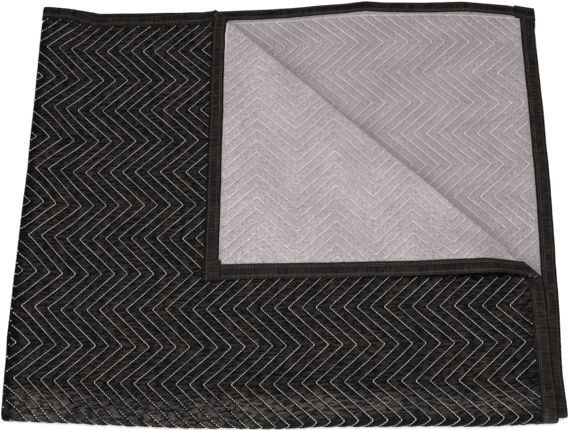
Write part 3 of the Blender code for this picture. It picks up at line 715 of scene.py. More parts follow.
def stitch_mesh(centres, directions, lengths, width, low, high, sign):
    """Beads of thread, drawn flat: each lies along its direction and stands from low to high."""
    count = len(centres)
    across = np.stack([-directions[:, 1], directions[:, 0]], axis=1)
    rings = []
    for end, at in enumerate(BEAD_RINGS):
        spine = centres + directions * (at * lengths)[:, None]
        if end in (0, 3):
            rings.append(np.concatenate([spine, low[:, None]], axis=1)[:, None, :])
            continue
        shoulder, bottom = (low + BEAD_SHOULDER)[:, None], (low - BEAD_DEPTH)[:, None]
        left = np.concatenate([spine + across * width / 2.0, shoulder], axis=1)
        top = np.concatenate([spine, high[:, None]], axis=1)
        right = np.concatenate([spine - across * width / 2.0, shoulder], axis=1)
        under = np.concatenate([spine, bottom], axis=1)
        rings.append(np.stack([left, top, right, under], axis=1))
    places = np.concatenate(rings, axis=1).reshape(-1, 3)
    one = [(0, 1, 2), (0, 2, 3), (0, 3, 4), (0, 4, 1)]
    for i in range(4):
        j = (i + 1) % 4
        one += [(1 + i, 5 + i, 5 + j), (1 + i, 5 + j, 1 + j)]
        one.append((9, 5 + j, 5 + i))
    faces = (np.array(one)[None] + 10 * np.arange(count)[:, None, None]).reshape(-1, 3)
    places[:, 2] *= sign
    return places, faces


def quilting_stitches(face):
    """Centres and directions of the stitches that show on a face."""
    lines_stop = BLACK_LINES_STOP if face == "black" else GREY_LINES_STOP
    lines = np.arange(LINES_START, lines_stop)[:, None, None]
    rows = np.arange(ROWS_START, ROWS_STOP)[None, :, None]
    share = ((np.arange(STITCHES_PER_RUN) + 0.5) / STITCHES_PER_RUN)[None, None, :]
    v = CORNER_ROW_V - HALF_PERIOD * (rows + share) + 0.0 * lines
    u = FIRST_CORNER_U + LINE_PITCH * lines + zigzag(v)
    step = 0.5
    du = zigzag(v + step) - zigzag(v - step)
    heading = np.arctan2(2.0 * step, du)
    u, v, heading = u.ravel(), v.ravel(), heading.ravel()
    along, up = line_shift(u, v)
    u, v = u + along, v + up
    edge = np.minimum(np.minimum(u, LONG_SIDE - u), np.minimum(v, SHORT_SIDE - v))
    past = turned_across(u, v)
    if face == "black":
        under = SECOND_FOLD_V - math.pi / 2 * arc_radius(LONG_SIDE, 1.0)
        keep = (u > FIRST_FOLD_U + 2.0) & (v > under + 1.0) & (past < -2.0) & ~under_flap(u, v)
        # Thread in the dark gap under the flap's raised edge doesn't show and is left out
        keep &= (u < GAP_FROM_U) | (v < GAP_V - 6.0)
    else:
        flap = (u > FIRST_FOLD_U) & (past > math.pi * CORNER_RADIUS + 2.0)
        below = (u < FIRST_FOLD_U) & (past > -SHOWN_PAST_FOLD)
        keep = (v > SECOND_FOLD_V) & (flap | below)
    keep &= edge > NIP_LINE + (BLACK_FROM_TAPE if face == "black" else GREY_FROM_TAPE)
    return u[keep], v[keep], heading[keep]


def make_quilting(name, face, material, width):
    """The zigzag lines of thread on one face."""
    rng = np.random.RandomState(21 if face == "black" else 22)
    sign = 1.0 if face == "black" else -1.0
    u, v, heading = quilting_stitches(face)
    heading = heading + rng.normal(0.0, STITCH_WANDER, len(u))
    aside = rng.normal(0.0, STITCH_ASIDE, len(u))
    full = HALF_PERIOD * math.sqrt(2.0) / STITCHES_PER_RUN
    share = BLACK_STITCH_SHARE if face == "black" else GREY_STITCH_SHARE
    lengths = full * (share + rng.uniform(-0.06, 0.06, len(u)))
    directions = np.stack([np.cos(heading), np.sin(heading)], axis=1)
    centres = np.stack([u - aside * directions[:, 1], v + aside * directions[:, 0]], axis=1)
    ground = face_height(u, v, face)
    faded = ease(0.5 + 1.1 * uneven(u, v, 58.0, 44.0, 23)) * (0.25 if face == "black" else 0.8)
    sunk = faded * rng.uniform(0.0, 0.35, len(u))
    low = ground + THREAD_LOW - sunk
    high = ground + THREAD_HIGH - sunk
    places, faces = stitch_mesh(centres, directions, lengths, width, low, high, sign)
    points = fold_cloth(places[:, 0], places[:, 1], places[:, 2])
    piece = add_piece(name, points, faces, places[:, :2], material)
    return piece


# Tape
TAPE_SECTION = [
    {"inset": 30.0, "w": 1.75},
    {"inset": 30.15, "w": 2.15},
    {"inset": 29.8, "w": 2.5},
    {"inset": 28.8, "w": 2.68},
    {"inset": 27.2, "w": 2.6},
    {"inset": 25.8, "w": 2.5},
    {"inset": 24.8, "w": 2.15},
    {"inset": 23.8, "w": 2.5},
    {"inset": 22.4, "w": 2.45},
    {"inset": 21.4, "w": 2.1},
    {"inset": 20.4, "w": 2.5},
    {"inset": 18.5, "w": 2.75},
    {"inset": 16.0, "w": 2.8},
    {"inset": 13.0, "w": 2.8},
    {"inset": 10.0, "w": 2.8},
    {"inset": 7.6, "w": 2.75},
    {"inset": 5.4, "w": 2.5},
    {"inset": 3.4, "w": 1.95},
    {"inset": 1.7, "w": 1.3},
    {"inset": 0.5, "w": 0.75},
    {"inset": 0.0, "w": 0.45},
]
TAPE_STITCH_ROWS = [24.8, 21.4]
TAPE_STEP = 3.6             # from one cross-section to the next
FIRST_FOLD_REACH, FIRST_FOLD_SECTIONS = 5.4, 13
SECOND_FOLD_REACH, SECOND_FOLD_STEP = 30.0, 1.8
CORNER_FOLD_STEP = 1.5
TAPE_STITCH = 4.8           # from one stitch to the next
TAPE_STITCH_SHARE = 0.88
TAPE_STITCH_WIDTH = 1.5
TAPE_STITCH_WANDER = 0.06   # of a stitch's heading, in radians
TAPE_STITCH_ASIDE = 0.12
TAPE_THREAD_W = 2.1
TAPE_THREAD_LOW, TAPE_THREAD_HIGH = 0.1, 0.75
LAP_LENGTH = 40.0           # the long strips' ends lap over the side strips
LAP_RAMP = 1.6
LAP_RISE = 1.2
LAP_WIDER = 4.0
LAP_GREY_WIDTH = 31.8
LAP_PAST_END = 2.0
LAP_ROUND = 14.0
TAPE_SIDES = {
    "far": {"seed": 31, "long": True, "grey_width": 27.5, "corner_fold": (1340.0, 1420.0)},
    "far_under": {"seed": 32, "long": True, "grey_width": 30.0, "corner_fold": None},
    "right_inner": {"seed": 33, "long": False, "grey_width": 30.0, "corner_fold": None},
    "right_outer": {"seed": 34, "long": False, "grey_width": 31.0, "corner_fold": (1140.0, 1230.0)},
}


def strip_point(side, place, distance):
    """Cloth point at a place along an edge and a distance in from it."""
    if side == "far":
        return place, SHORT_SIDE - distance
    if side == "far_under":
        return place, distance
    if side == "right_inner":
        return distance, place
    return LONG_SIDE - distance, place


def tape_length(side):
    """First and last place of a strip of tape along its edge."""
    if TAPE_SIDES[side]["long"]:
        return 0.0, LONG_SIDE
    return NIP_LINE + END_GAP, SHORT_SIDE - NIP_LINE - END_GAP


def tape_relief(side, place, inset, face):
    """Wrinkles across the tape, strongest between its stitches."""
    seed = TAPE_SIDES[side]["seed"] + (10 if face > 0 else 0)
    cross = uneven(place, inset, 4.6, 16.0, seed) + 0.8 * uneven(place, inset, 11.0, 20.0, seed + 1)
    along = uneven(place, inset, 45.0, 6.0, seed + 2)
    strength = 0.65 + 0.35 * uneven(place, inset, 90.0, 60.0, seed + 3)
    middle = ease(inset / 4.0) * ease((BINDING_WIDTH + 0.5 - inset) / 2.0)
    return (0.3 * cross * strength + 0.12 * along) * middle


def tape_lap(side, place):
    """How much of the lapped corner's rise there is at a place along a strip."""
    if not TAPE_SIDES[side]["long"]:
        return np.zeros_like(place)
    from_end = np.minimum(place, LONG_SIDE - place)
    return ease((LAP_LENGTH - from_end) / LAP_RAMP)


def grey_width(side, lap):
    """Width that a strip of tape shows on the grey face, full where it laps a corner."""
    plain = TAPE_SIDES[side]["grey_width"]
    return plain + (LAP_GREY_WIDTH - plain) * lap


def tape_inset(side, inset, face, lap):
    """Distance in from the edge, stretched to the width that the tape shows on this face."""
    width = grey_width(side, lap) if face < 0 else BINDING_WIDTH
    return inset * (1.0 + (width / BINDING_WIDTH - 1.0) * ease(inset / 20.0))


def past_end(side, place, inset):
    """The lapped ends of the long strips stand a little past the edge that they cover."""
    if not TAPE_SIDES[side]["long"]:
        return place
    reach = LAP_PAST_END * (1.0 - ease(np.minimum(place, LONG_SIDE - place) / LAP_ROUND))
    return place + np.where(place < LONG_SIDE / 2.0, -reach, reach)


def tape_stations(side):
    """Places of the cross-sections along a strip, closer together where it is folded."""
    first, last = tape_length(side)
    places = [np.arange(first, last, TAPE_STEP), [last]]
    if TAPE_SIDES[side]["long"]:
        reach = FIRST_FOLD_REACH
        places.append(np.linspace(FIRST_FOLD_U - reach, FIRST_FOLD_U + reach, FIRST_FOLD_SECTIONS))
        places.append([LAP_LENGTH, LAP_LENGTH - LAP_RAMP])
        places.append([LONG_SIDE - LAP_LENGTH, LONG_SIDE - LAP_LENGTH + LAP_RAMP])
    else:
        reach = SECOND_FOLD_REACH
        places.append(np.arange(SECOND_FOLD_V - reach, SECOND_FOLD_V + reach, SECOND_FOLD_STEP))
    if TAPE_SIDES[side]["corner_fold"]:
        places.append(np.arange(*TAPE_SIDES[side]["corner_fold"], CORNER_FOLD_STEP))
    merged = np.unique(np.round(np.concatenate(places), 2))
    keep = np.concatenate([[True], np.diff(merged) > 0.6])
    keep[-1] = True
    return merged[keep]


def make_tape(name, side, node, material):
    """One strip of tape folded over an edge of the pad."""
    stations = tape_stations(side)
    lap = tape_lap(side, stations)
    count = len(stations)
    columns = []
    for face in (1.0, -1.0):
        rows = TAPE_SECTION if face > 0 else list(reversed(TAPE_SECTION))
        for row in rows:
            inset = np.full(count, row["inset"])
            rise = tape_relief(side, stations, inset, face) + LAP_RISE * lap * (row["w"] > 2.0)
            outward = LAP_WIDER * lap * (1.0 - ease(inset / LAP_ROUND))
            columns.append((tape_inset(side, inset, face, lap) - outward, face * (row["w"] + rise)))
    columns.append((grey_width(side, lap), np.full(count, -BINDING_IN_W)))
    for w in (-BINDING_IN_W, BINDING_IN_W):
        columns.append((np.full(count, BINDING_WEB), np.full(count, w)))
    inset = np.stack([c[0] for c in columns], axis=1)
    w = np.stack([c[1] for c in columns], axis=1)
    place = stations[:, None] + 0.0 * inset
    width = inset.shape[1]
    place, inset = place.ravel(), inset.ravel()
    u, v = strip_point(side, past_end(side, place, inset), inset)
    points = fold_cloth(u + 0.0 * inset, v + 0.0 * inset, w.ravel())
    ring = np.arange(width)
    start = np.arange(count - 1)[:, None] * width
    a = (start + ring).ravel()
    b = (start + (ring + 1) % width).ravel()
    faces = [np.stack([a, b, b + width], axis=1), np.stack([a, b + width, a + width], axis=1)]
    half = len(TAPE_SECTION)
    outer_top = list(range(half))
    outer_low = list(range(half, 2 * half))
    in_low, web_low, web_top = 2 * half, 2 * half + 1, 2 * half + 2
    cap = []
    for i in range(half - 1):
        cap.append((outer_top[i], outer_top[i + 1], web_top))
        cap.append((outer_low[i], outer_low[i + 1], web_low))
    cap.append((outer_top[-1], outer_low[0], web_top))
    cap.append((outer_low[0], web_low, web_top))
    cap.append((outer_low[-1], in_low, web_low))
    cap = np.array(cap)
    faces.append(cap[:, ::-1])
    faces.append(cap + (count - 1) * width)
    flat = np.stack([place + 500.0 * TAPE_SIDES[side]["seed"], inset], axis=1)
    piece = add_piece(name, points, np.concatenate(faces), flat, material)
    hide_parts(node)
    return piece


TAPE_RUNS = [
    {"side": "far", "face": 1.0, "from": 1022.0, "to": 1390.0},
    {"side": "far", "face": -1.0, "from": 1380.0, "to": 2031.0},
    {"side": "far", "face": -1.0, "from": 1.0, "to": 700.0},
    {"side": "right_outer", "face": 1.0, "from": 900.0, "to": 1180.0},
    {"side": "right_outer", "face": -1.0, "from": 1170.0, "to": 1797.0},
    {"side": "right_inner", "face": -1.0, "from": 908.0, "to": 1797.0},
]


def make_tape_stitches(name, material):
    """Two rows of stitches along each stretch of tape that shows."""
    rng = np.random.RandomState(41)
    parts, flats, faces, shift = [], [], [], 0
    for run in TAPE_RUNS:
        for inset in TAPE_STITCH_ROWS:
            place = np.arange(run["from"], run["to"], TAPE_STITCH)
            count = len(place)
            lap = tape_lap(run["side"], place)
            insets = inset + rng.normal(0.0, TAPE_STITCH_ASIDE, count)
            insets = tape_inset(run["side"], insets, run["face"], lap)
            u, v = strip_point(run["side"], place, insets)
            u, v = u + np.zeros(count), v + np.zeros(count)
            lengths = TAPE_STITCH * (TAPE_STITCH_SHARE + rng.uniform(-0.08, 0.06, count))
            heading = 0.0 if TAPE_SIDES[run["side"]]["long"] else math.pi / 2
            heading = rng.normal(heading, TAPE_STITCH_WANDER, count)
            directions = np.stack([np.cos(heading), np.sin(heading)], axis=1)
            rise = tape_relief(run["side"], place, insets, run["face"])
            ground = TAPE_THREAD_W + rise + LAP_RISE * lap
            centres = np.stack([u, v], axis=1)
            low, high = ground + TAPE_THREAD_LOW, ground + TAPE_THREAD_HIGH
            places, beads = stitch_mesh(
                centres, directions, lengths, TAPE_STITCH_WIDTH, low, high, run["face"]
            )
            parts.append(fold_cloth(places[:, 0], places[:, 1], places[:, 2]))
            flats.append(places[:, :2])
            faces.append(beads + shift)
            shift += len(places)
    points, faces, flat = (np.concatenate(rows) for rows in (parts, faces, flats))
    piece = add_piece(name, points, faces, flat, material)
    return piece


def colour(hex_code):
    """An sRGB hex colour as linear values."""
    parts = [int(hex_code[i:i + 2], 16) / 255.0 for i in (1, 3, 5)]
    linear = [p / 12.92 if p <= 0.04045 else ((p + 0.055) / 1.055) ** 2.4 for p in parts]
    return (*linear, 1.0)


def node(tree, kind, links=None, output=0, **settings):
    """Adds a node with its settings, links or sets its sockets, and gives an output."""
    made = tree.nodes.new(kind)
    for key, value in settings.items():
        setattr(made, key, value)
    for key, value in (links or {}).items():
        if isinstance(value, bpy.types.NodeSocket):
            tree.links.new(value, made.inputs[key])
        else:
            made.inputs[key].default_value = value
    return made.outputs[output]


def new_material(name):
    """An empty material with its tree, its shader, and flat places on the cloth or tape."""
    material = bpy.data.materials.new(name)
    material.use_nodes = True
    tree = material.node_tree
    return material, tree, tree.nodes["Principled BSDF"], node(tree, "ShaderNodeTexCoord", output="UV")


def lumps(tree, where, long, wide, turn=0.0, detail=2.0):
    """Unevenness of the real thing, with lumps so many millimetres long and wide."""
    laid = node(tree, "ShaderNodeMapping", {
        "Vector": where,
        "Rotation": (0.0, 0.0, turn),
        "Scale": (long * MM, wide * MM, 1.0),
    }, vector_type="TEXTURE")
    return node(tree, "ShaderNodeTexNoise", {
        "Vector": laid,
        "Scale": 1.0,
        "Detail": detail,
        "Roughness": 0.55,
    }, noise_dimensions="2D")


def below_lines(tree, where):
    """Distance in metres from the nearest stitched line, positive on its near side."""
    place = node(tree, "ShaderNodeSeparateXYZ", {"Vector": where})
    along = place.node.outputs["X"]
    row = node(tree, "ShaderNodeMath", {
        0: place.node.outputs["Y"], 1: CORNER_ROW_V * MM,
    }, operation="SUBTRACT")
    swing = node(tree, "ShaderNodeMath", {0: row, 1: HALF_PERIOD * MM}, operation="PINGPONG")
    swing = node(tree, "ShaderNodeMath", {
        0: swing, 1: ZIGZAG_SWING / HALF_PERIOD, 2: FIRST_CORNER_U * MM,
    }, operation="MULTIPLY_ADD")
    off = node(tree, "ShaderNodeMath", {0: along, 1: swing}, operation="SUBTRACT")
    half = LINE_PITCH / 2.0 * MM
    off = node(tree, "ShaderNodeMath", {0: off, 1: half, 2: -half}, operation="WRAP")
    lean = node(tree, "ShaderNodeMath", {
        0: row, 1: HALF_PERIOD * MM, 2: -HALF_PERIOD * MM,
    }, operation="WRAP")
    lean = node(tree, "ShaderNodeMath", {0: lean}, operation="SIGN")
    off = node(tree, "ShaderNodeMath", {0: off, 1: lean}, operation="MULTIPLY")
    return node(tree, "ShaderNodeMath", {0: off, 1: math.sqrt(0.5)}, operation="MULTIPLY")


def from_edge(tree, where):
    """Distance in metres from the nearest edge of the cloth."""
    place = node(tree, "ShaderNodeSeparateXYZ", {"Vector": where})
    sides = []
    for axis, length in (("X", LONG_SIDE * MM), ("Y", SHORT_SIDE * MM)):
        far = node(tree, "ShaderNodeMath", {
            0: length, 1: place.node.outputs[axis],
        }, operation="SUBTRACT")
        sides.append(node(tree, "ShaderNodeMath", {
            0: place.node.outputs[axis], 1: far,
        }, operation="MINIMUM"))
    return node(tree, "ShaderNodeMath", {0: sides[0], 1: sides[1]}, operation="MINIMUM")


def crease_beside(tree, distance, at, width):
    """1 in a crease that lies at a distance, fading to 0 over its width, in millimetres."""
    away = node(tree, "ShaderNodeMath", {0: distance, 1: at * MM}, operation="SUBTRACT")
    away = node(tree, "ShaderNodeMath", {0: away}, operation="ABSOLUTE")
    return node(tree, "ShaderNodeMapRange", {
        "Value": away, "From Min": 0.0, "From Max": width * MM, "To Min": 1.0, "To Max": 0.0,
    }, interpolation_type="SMOOTHSTEP")


def black_cloth():
    """Black non-woven polyester, brushed: dull brown-black, puckered by its stitches, with deep
    creases under the thread that are darkened with painted shade, and painted light and shade on the
    puckers. Painted shade darkens the turns of the folds and the gap under the flap's raised edge,
    and a painted sheen lies just inside the near fold."""
    material, tree, shader, where = new_material("black_brushed_polyester")
    patches = lumps(tree, where, 75.0, 55.0)
    puckers = lumps(tree, where, 15.0, 4.4, turn=0.1)
    ripples = lumps(tree, where, 7.0, 3.2, turn=-0.15)
    # The real fibres are under 0.1 mm, so the brushed grain is drawn at 1 to 3 mm.
    fibres = lumps(tree, where, 3.2, 1.1, turn=0.75)
    crease = crease_beside(tree, below_lines(tree, where), 1.8, 2.4)
    share = node(tree, "ShaderNodeMapRange", {"Value": patches, "From Min": 0.36, "From Max": 0.66})
    tone = node(tree, "ShaderNodeMix", {
        0: share, 6: colour("#0f0e0e"), 7: colour("#151312"),
    }, output=2, data_type="RGBA")
    ridges = node(tree, "ShaderNodeMapRange", {
        "Value": puckers, "From Min": 0.36, "From Max": 0.64,
    }, interpolation_type="SMOOTHSTEP")
    # Painted highlight on the puckers' ridges and painted shade in their hollows
    lit = node(tree, "ShaderNodeMapRange", {"Value": ridges, "To Min": 0.25, "To Max": 2.6})
    tone = node(tree, "ShaderNodeMix", {
        0: 1.0, 6: tone, 7: lit,
    }, output=2, data_type="RGBA", blend_type="MULTIPLY")
    speck = node(tree, "ShaderNodeMapRange", {
        "Value": fibres, "From Min": 0.25, "From Max": 0.75, "To Min": 0.45, "To Max": 1.5,
    })
    tone = node(tree, "ShaderNodeMix", {
        0: 1.0, 6: tone, 7: speck,
    }, output=2, data_type="RGBA", blend_type="MULTIPLY")
    # Painted shade in the crease on the near side of each stitched line; the same mask also deepens
    # the bump there
    tone = node(tree, "ShaderNodeMix", {
        0: crease, 6: tone, 7: colour("#030303"),
    }, output=2, data_type="RGBA")
    place = node(tree, "ShaderNodeSeparateXYZ", {"Vector": where})
    near = place.node.outputs["Y"]
    # Painted shade darkens the cloth in the turns of the left and near folds
    at_left = node(tree, "ShaderNodeMapRange", {
        "Value": place,
        "From Min": (FIRST_FOLD_U + 3.0) * MM,
        "From Max": (FIRST_FOLD_U + 18.0) * MM,
        "To Min": 0.3,
    }, interpolation_type="SMOOTHSTEP")
    at_near = node(tree, "ShaderNodeMapRange", {
        "Value": near,
        "From Min": (SECOND_FOLD_V + 5.0) * MM,
        "From Max": (SECOND_FOLD_V + 31.0) * MM,
        "To Min": 0.1,
    }, interpolation_type="SMOOTHSTEP")
    in_turn = node(tree, "ShaderNodeMath", {0: at_left, 1: at_near}, operation="MULTIPLY")
    # Painted sheen in a band just inside the near fold, uneven along it
    painted_sheen = crease_beside(tree, near, SECOND_FOLD_V + 42.0, 34.0)
    uneven_sheen = node(tree, "ShaderNodeMath", {0: share, 1: 0.9, 2: 1.5}, operation="MULTIPLY_ADD")
    painted_sheen = node(tree, "ShaderNodeMath", {0: painted_sheen, 1: uneven_sheen, 2: 1.0}, operation="MULTIPLY_ADD")
    in_turn = node(tree, "ShaderNodeMath", {0: in_turn, 1: painted_sheen}, operation="MULTIPLY")
    # Painted shadow on the cloth in the gap under the flap's raised edge
    painted_gap_shadow = crease_beside(tree, near, GAP_V, 13.0)
    raised = node(tree, "ShaderNodeMapRange", {
        "Value": place,
        "From Min": (GAP_FROM_U - 80.0) * MM,
        "From Max": (GAP_FROM_U + 40.0) * MM,
        "To Max": -1.0,
    })
    painted_gap_shadow = node(tree, "ShaderNodeMath", {0: painted_gap_shadow, 1: raised, 2: 1.0}, operation="MULTIPLY_ADD")
    in_turn = node(tree, "ShaderNodeMath", {0: in_turn, 1: painted_gap_shadow}, operation="MULTIPLY")
    tone = node(tree, "ShaderNodeMix", {
        0: 1.0, 6: tone, 7: in_turn,
    }, output=2, data_type="RGBA", blend_type="MULTIPLY")
    tree.links.new(tone, shader.inputs["Base Color"])
    height = node(tree, "ShaderNodeMath", {0: ridges, 1: 1.5}, operation="MULTIPLY")
    height = node(tree, "ShaderNodeMath", {0: ripples, 1: 0.8, 2: height}, operation="MULTIPLY_ADD")
    height = node(tree, "ShaderNodeMath", {0: fibres, 1: 0.35, 2: height}, operation="MULTIPLY_ADD")
    height = node(tree, "ShaderNodeMath", {0: crease, 1: -1.2, 2: height}, operation="MULTIPLY_ADD")
    bump = node(tree, "ShaderNodeBump", {"Height": height, "Strength": 1.0, "Distance": MM})
    tree.links.new(bump, shader.inputs["Normal"])
    rough = node(tree, "ShaderNodeMapRange", {
        "Value": fibres, "From Min": 0.3, "From Max": 0.7, "To Min": 0.45, "To Max": 0.62,
    })
    rough = node(tree, "ShaderNodeMath", {0: crease, 1: 0.35, 2: rough}, operation="MULTIPLY_ADD")
    tree.links.new(rough, shader.inputs["Roughness"])
    shader.inputs["Specular IOR Level"].default_value = 0.045
    return material


def grey_cloth():
    """Mauve-grey woven polyester-cotton: matt, with a fine crossed weave and faint stains of the
    dye, with painted shade in patches beside its stitches and a painted highlight where the tape nips
    it. The half that lies below is a shade darker."""
    material, tree, shader, where = new_material("mauve_grey_woven_cotton")
    patches = lumps(tree, where, 95.0, 70.0)
    puckers = lumps(tree, where, 13.0, 9.0)
    # The real weave is under 1 mm and wouldn't show, so the crossed grain is drawn at 2 to 7 mm.
    grain = lumps(tree, where, 7.0, 1.8, turn=0.785, detail=0.8)
    cross_grain = lumps(tree, where, 7.0, 1.8, turn=-0.785, detail=0.8)
    woven = node(tree, "ShaderNodeMath", {0: grain, 1: cross_grain}, operation="ADD")
    # Painted shade beside the stitched lines, stronger in some patches than in others
    crease = crease_beside(tree, below_lines(tree, where), 1.3, 1.8)
    patchiness = node(tree, "ShaderNodeMapRange", {
        "Value": puckers, "From Min": 0.35, "From Max": 0.6, "To Min": 0.1, "To Max": 0.6,
    })
    crease = node(tree, "ShaderNodeMath", {0: crease, 1: patchiness}, operation="MULTIPLY")
    share = node(tree, "ShaderNodeMapRange", {"Value": patches, "From Min": 0.36, "From Max": 0.64})
    tone = node(tree, "ShaderNodeMix", {
        0: share, 6: colour("#898386"), 7: colour("#918c8e"),
    }, output=2, data_type="RGBA")
    speck = node(tree, "ShaderNodeMapRange", {
        "Value": woven, "From Min": 0.7, "From Max": 1.3, "To Min": 0.7, "To Max": 1.22,
    })
    tone = node(tree, "ShaderNodeMix", {
        0: 1.0, 6: tone, 7: speck,
    }, output=2, data_type="RGBA", blend_type="MULTIPLY")
    tone = node(tree, "ShaderNodeMix", {
        0: crease, 6: tone, 7: colour("#5d5457"),
    }, output=2, data_type="RGBA")
    place = node(tree, "ShaderNodeSeparateXYZ", {"Vector": where})
    lower_half = node(tree, "ShaderNodeMath", {0: place, 1: FIRST_FOLD_U * MM}, operation="LESS_THAN")
    # Painted highlight on the cloth just inside the tape, where it curves down into the nip
    painted_nip_highlight = crease_beside(tree, from_edge(tree, where), NIP_LINE + 2.2, 2.4)
    painted_nip_highlight = node(tree, "ShaderNodeMath", {0: painted_nip_highlight, 1: 0.7}, operation="MULTIPLY")
    tone = node(tree, "ShaderNodeMix", {
        0: painted_nip_highlight, 6: tone, 7: colour("#bdb6b8"),
    }, output=2, data_type="RGBA")
    tone = node(tree, "ShaderNodeMix", {
        0: lower_half, 6: tone, 7: colour("#eeecec"),
    }, output=2, data_type="RGBA", blend_type="MULTIPLY")
    tree.links.new(tone, shader.inputs["Base Color"])
    height = node(tree, "ShaderNodeMath", {0: puckers, 1: 1.0}, operation="MULTIPLY")
    height = node(tree, "ShaderNodeMath", {0: woven, 1: 0.3, 2: height}, operation="MULTIPLY_ADD")
    height = node(tree, "ShaderNodeMath", {0: crease, 1: -0.6, 2: height}, operation="MULTIPLY_ADD")
    bump = node(tree, "ShaderNodeBump", {"Height": height, "Strength": 1.0, "Distance": MM})
    tree.links.new(bump, shader.inputs["Normal"])
    rough = node(tree, "ShaderNodeMapRange", {
        "Value": woven, "From Min": 0.6, "From Max": 1.4, "To Min": 0.84, "To Max": 0.95,
    })
    tree.links.new(rough, shader.inputs["Roughness"])
    shader.inputs["Specular IOR Level"].default_value = 0.15
    return material


def tape_cloth():
    """Black woven cotton tape: flatter than the cloth, gathered across by its stitches, with
    painted light and shade on the gathers, a groove along each row of stitches darkened with painted
    shade, and a painted highlight along its roll."""
    material, tree, shader, where = new_material("black_woven_cotton_tape")
    patches = lumps(tree, where, 45.0, 30.0)
    gathers = lumps(tree, where, 4.2, 22.0, detail=1.0)
    # The real weave is 0.5 mm, so it is drawn at 1.5 mm.
    weave = lumps(tree, where, 1.5, 2.2, detail=1.0)
    place = node(tree, "ShaderNodeSeparateXYZ", {"Vector": where})
    inset = place.node.outputs["Y"]
    first_row = crease_beside(tree, inset, TAPE_STITCH_ROWS[0] + 1.7, 1.5)
    second_row = crease_beside(tree, inset, TAPE_STITCH_ROWS[1] + 1.5, 1.0)
    groove = node(tree, "ShaderNodeMath", {0: first_row, 1: second_row}, operation="MAXIMUM")
    share = node(tree, "ShaderNodeMapRange", {"Value": patches, "From Min": 0.36, "From Max": 0.64})
    tone = node(tree, "ShaderNodeMix", {
        0: share, 6: colour("#0e0c0b"), 7: colour("#161311"),
    }, output=2, data_type="RGBA")
    # Painted highlight on the gathers' ridges and painted shade in their hollows
    lit = node(tree, "ShaderNodeMapRange", {
        "Value": gathers, "From Min": 0.3, "From Max": 0.7, "To Min": 0.35, "To Max": 1.7,
    })
    tone = node(tree, "ShaderNodeMix", {
        0: 1.0, 6: tone, 7: lit,
    }, output=2, data_type="RGBA", blend_type="MULTIPLY")
    # Painted highlight along the tape's roll
    painted_sheen = crease_beside(tree, inset, 5.6, 1.8)
    painted_sheen = node(tree, "ShaderNodeMath", {0: painted_sheen, 1: 0.55}, operation="MULTIPLY")
    tone = node(tree, "ShaderNodeMix", {
        0: painted_sheen, 6: tone, 7: colour("#37322f"),
    }, output=2, data_type="RGBA")
    # Painted shade in the groove along each row of stitches
    tone = node(tree, "ShaderNodeMix", {
        0: groove, 6: tone, 7: colour("#080606"),
    }, output=2, data_type="RGBA")
    tree.links.new(tone, shader.inputs["Base Color"])
    height = node(tree, "ShaderNodeMath", {0: gathers, 1: 1.6}, operation="MULTIPLY")
    height = node(tree, "ShaderNodeMath", {0: weave, 1: 0.25, 2: height}, operation="MULTIPLY_ADD")
    height = node(tree, "ShaderNodeMath", {0: groove, 1: -0.6, 2: height}, operation="MULTIPLY_ADD")
    bump = node(tree, "ShaderNodeBump", {"Height": height, "Strength": 1.0, "Distance": MM})
    tree.links.new(bump, shader.inputs["Normal"])
    rough = node(tree, "ShaderNodeMapRange", {
        "Value": weave, "From Min": 0.3, "From Max": 0.7, "To Min": 0.45, "To Max": 0.6,
    })
    tree.links.new(rough, shader.inputs["Roughness"])
    shader.inputs["Specular IOR Level"].default_value = 0.08
    return material


def thread(name, pale, dull):
    """Spun polyester thread: pale and slightly glossy, dulled where it sinks into the cloth."""
    material, tree, shader, where = new_material(name)
    patchiness = lumps(tree, where, 34.0, 30.0)
    share = node(tree, "ShaderNodeMapRange", {"Value": patchiness, "From Min": 0.35, "From Max": 0.6})
    tone = node(tree, "ShaderNodeMix", {0: share, 6: dull, 7: pale}, output=2, data_type="RGBA")
    tree.links.new(tone, shader.inputs["Base Color"])
    twist = lumps(tree, where, 1.1, 1.1)
    bump = node(tree, "ShaderNodeBump", {"Height": twist, "Strength": 0.6, "Distance": 0.3 * MM})
    tree.links.new(bump, shader.inputs["Normal"])
    shader.inputs["Roughness"].default_value = 0.55
    shader.inputs["Specular IOR Level"].default_value = 0.4
    return material


def pale_floor():
    """Painted board: almost white and matt, with the faint mottle of a roller."""
    material, tree, shader, where = new_material("pale_painted_board")
    mottle = lumps(tree, where, 30.0, 30.0)
    share = node(tree, "ShaderNodeMapRange", {"Value": mottle, "From Min": 0.3, "From Max": 0.7})
    tone = node(tree, "ShaderNodeMix", {
        0: share, 6: colour("#f7f7f7"), 7: colour("#fbfbfb"),
    }, output=2, data_type="RGBA")
    tree.links.new(tone, shader.inputs["Base Color"])
    shader.inputs["Roughness"].default_value = 0.9
    shader.inputs["Specular IOR Level"].default_value = 0.1
    return material


# Camera, fitted to the photograph: 569 x 430 pixels
IMAGE_WIDTH = 569.0
FOCAL_PIXELS = 1183.94
CAMERA_ELEVATION = 61.904
CAMERA_AZIMUTH = 0.367
CAMERA_ROLL = -0.511
CAMERA_DISTANCE = 2299.1
CAMERA_TARGET = (-11.37, -46.59, 23.95)
SENSOR_WIDTH = 36.0


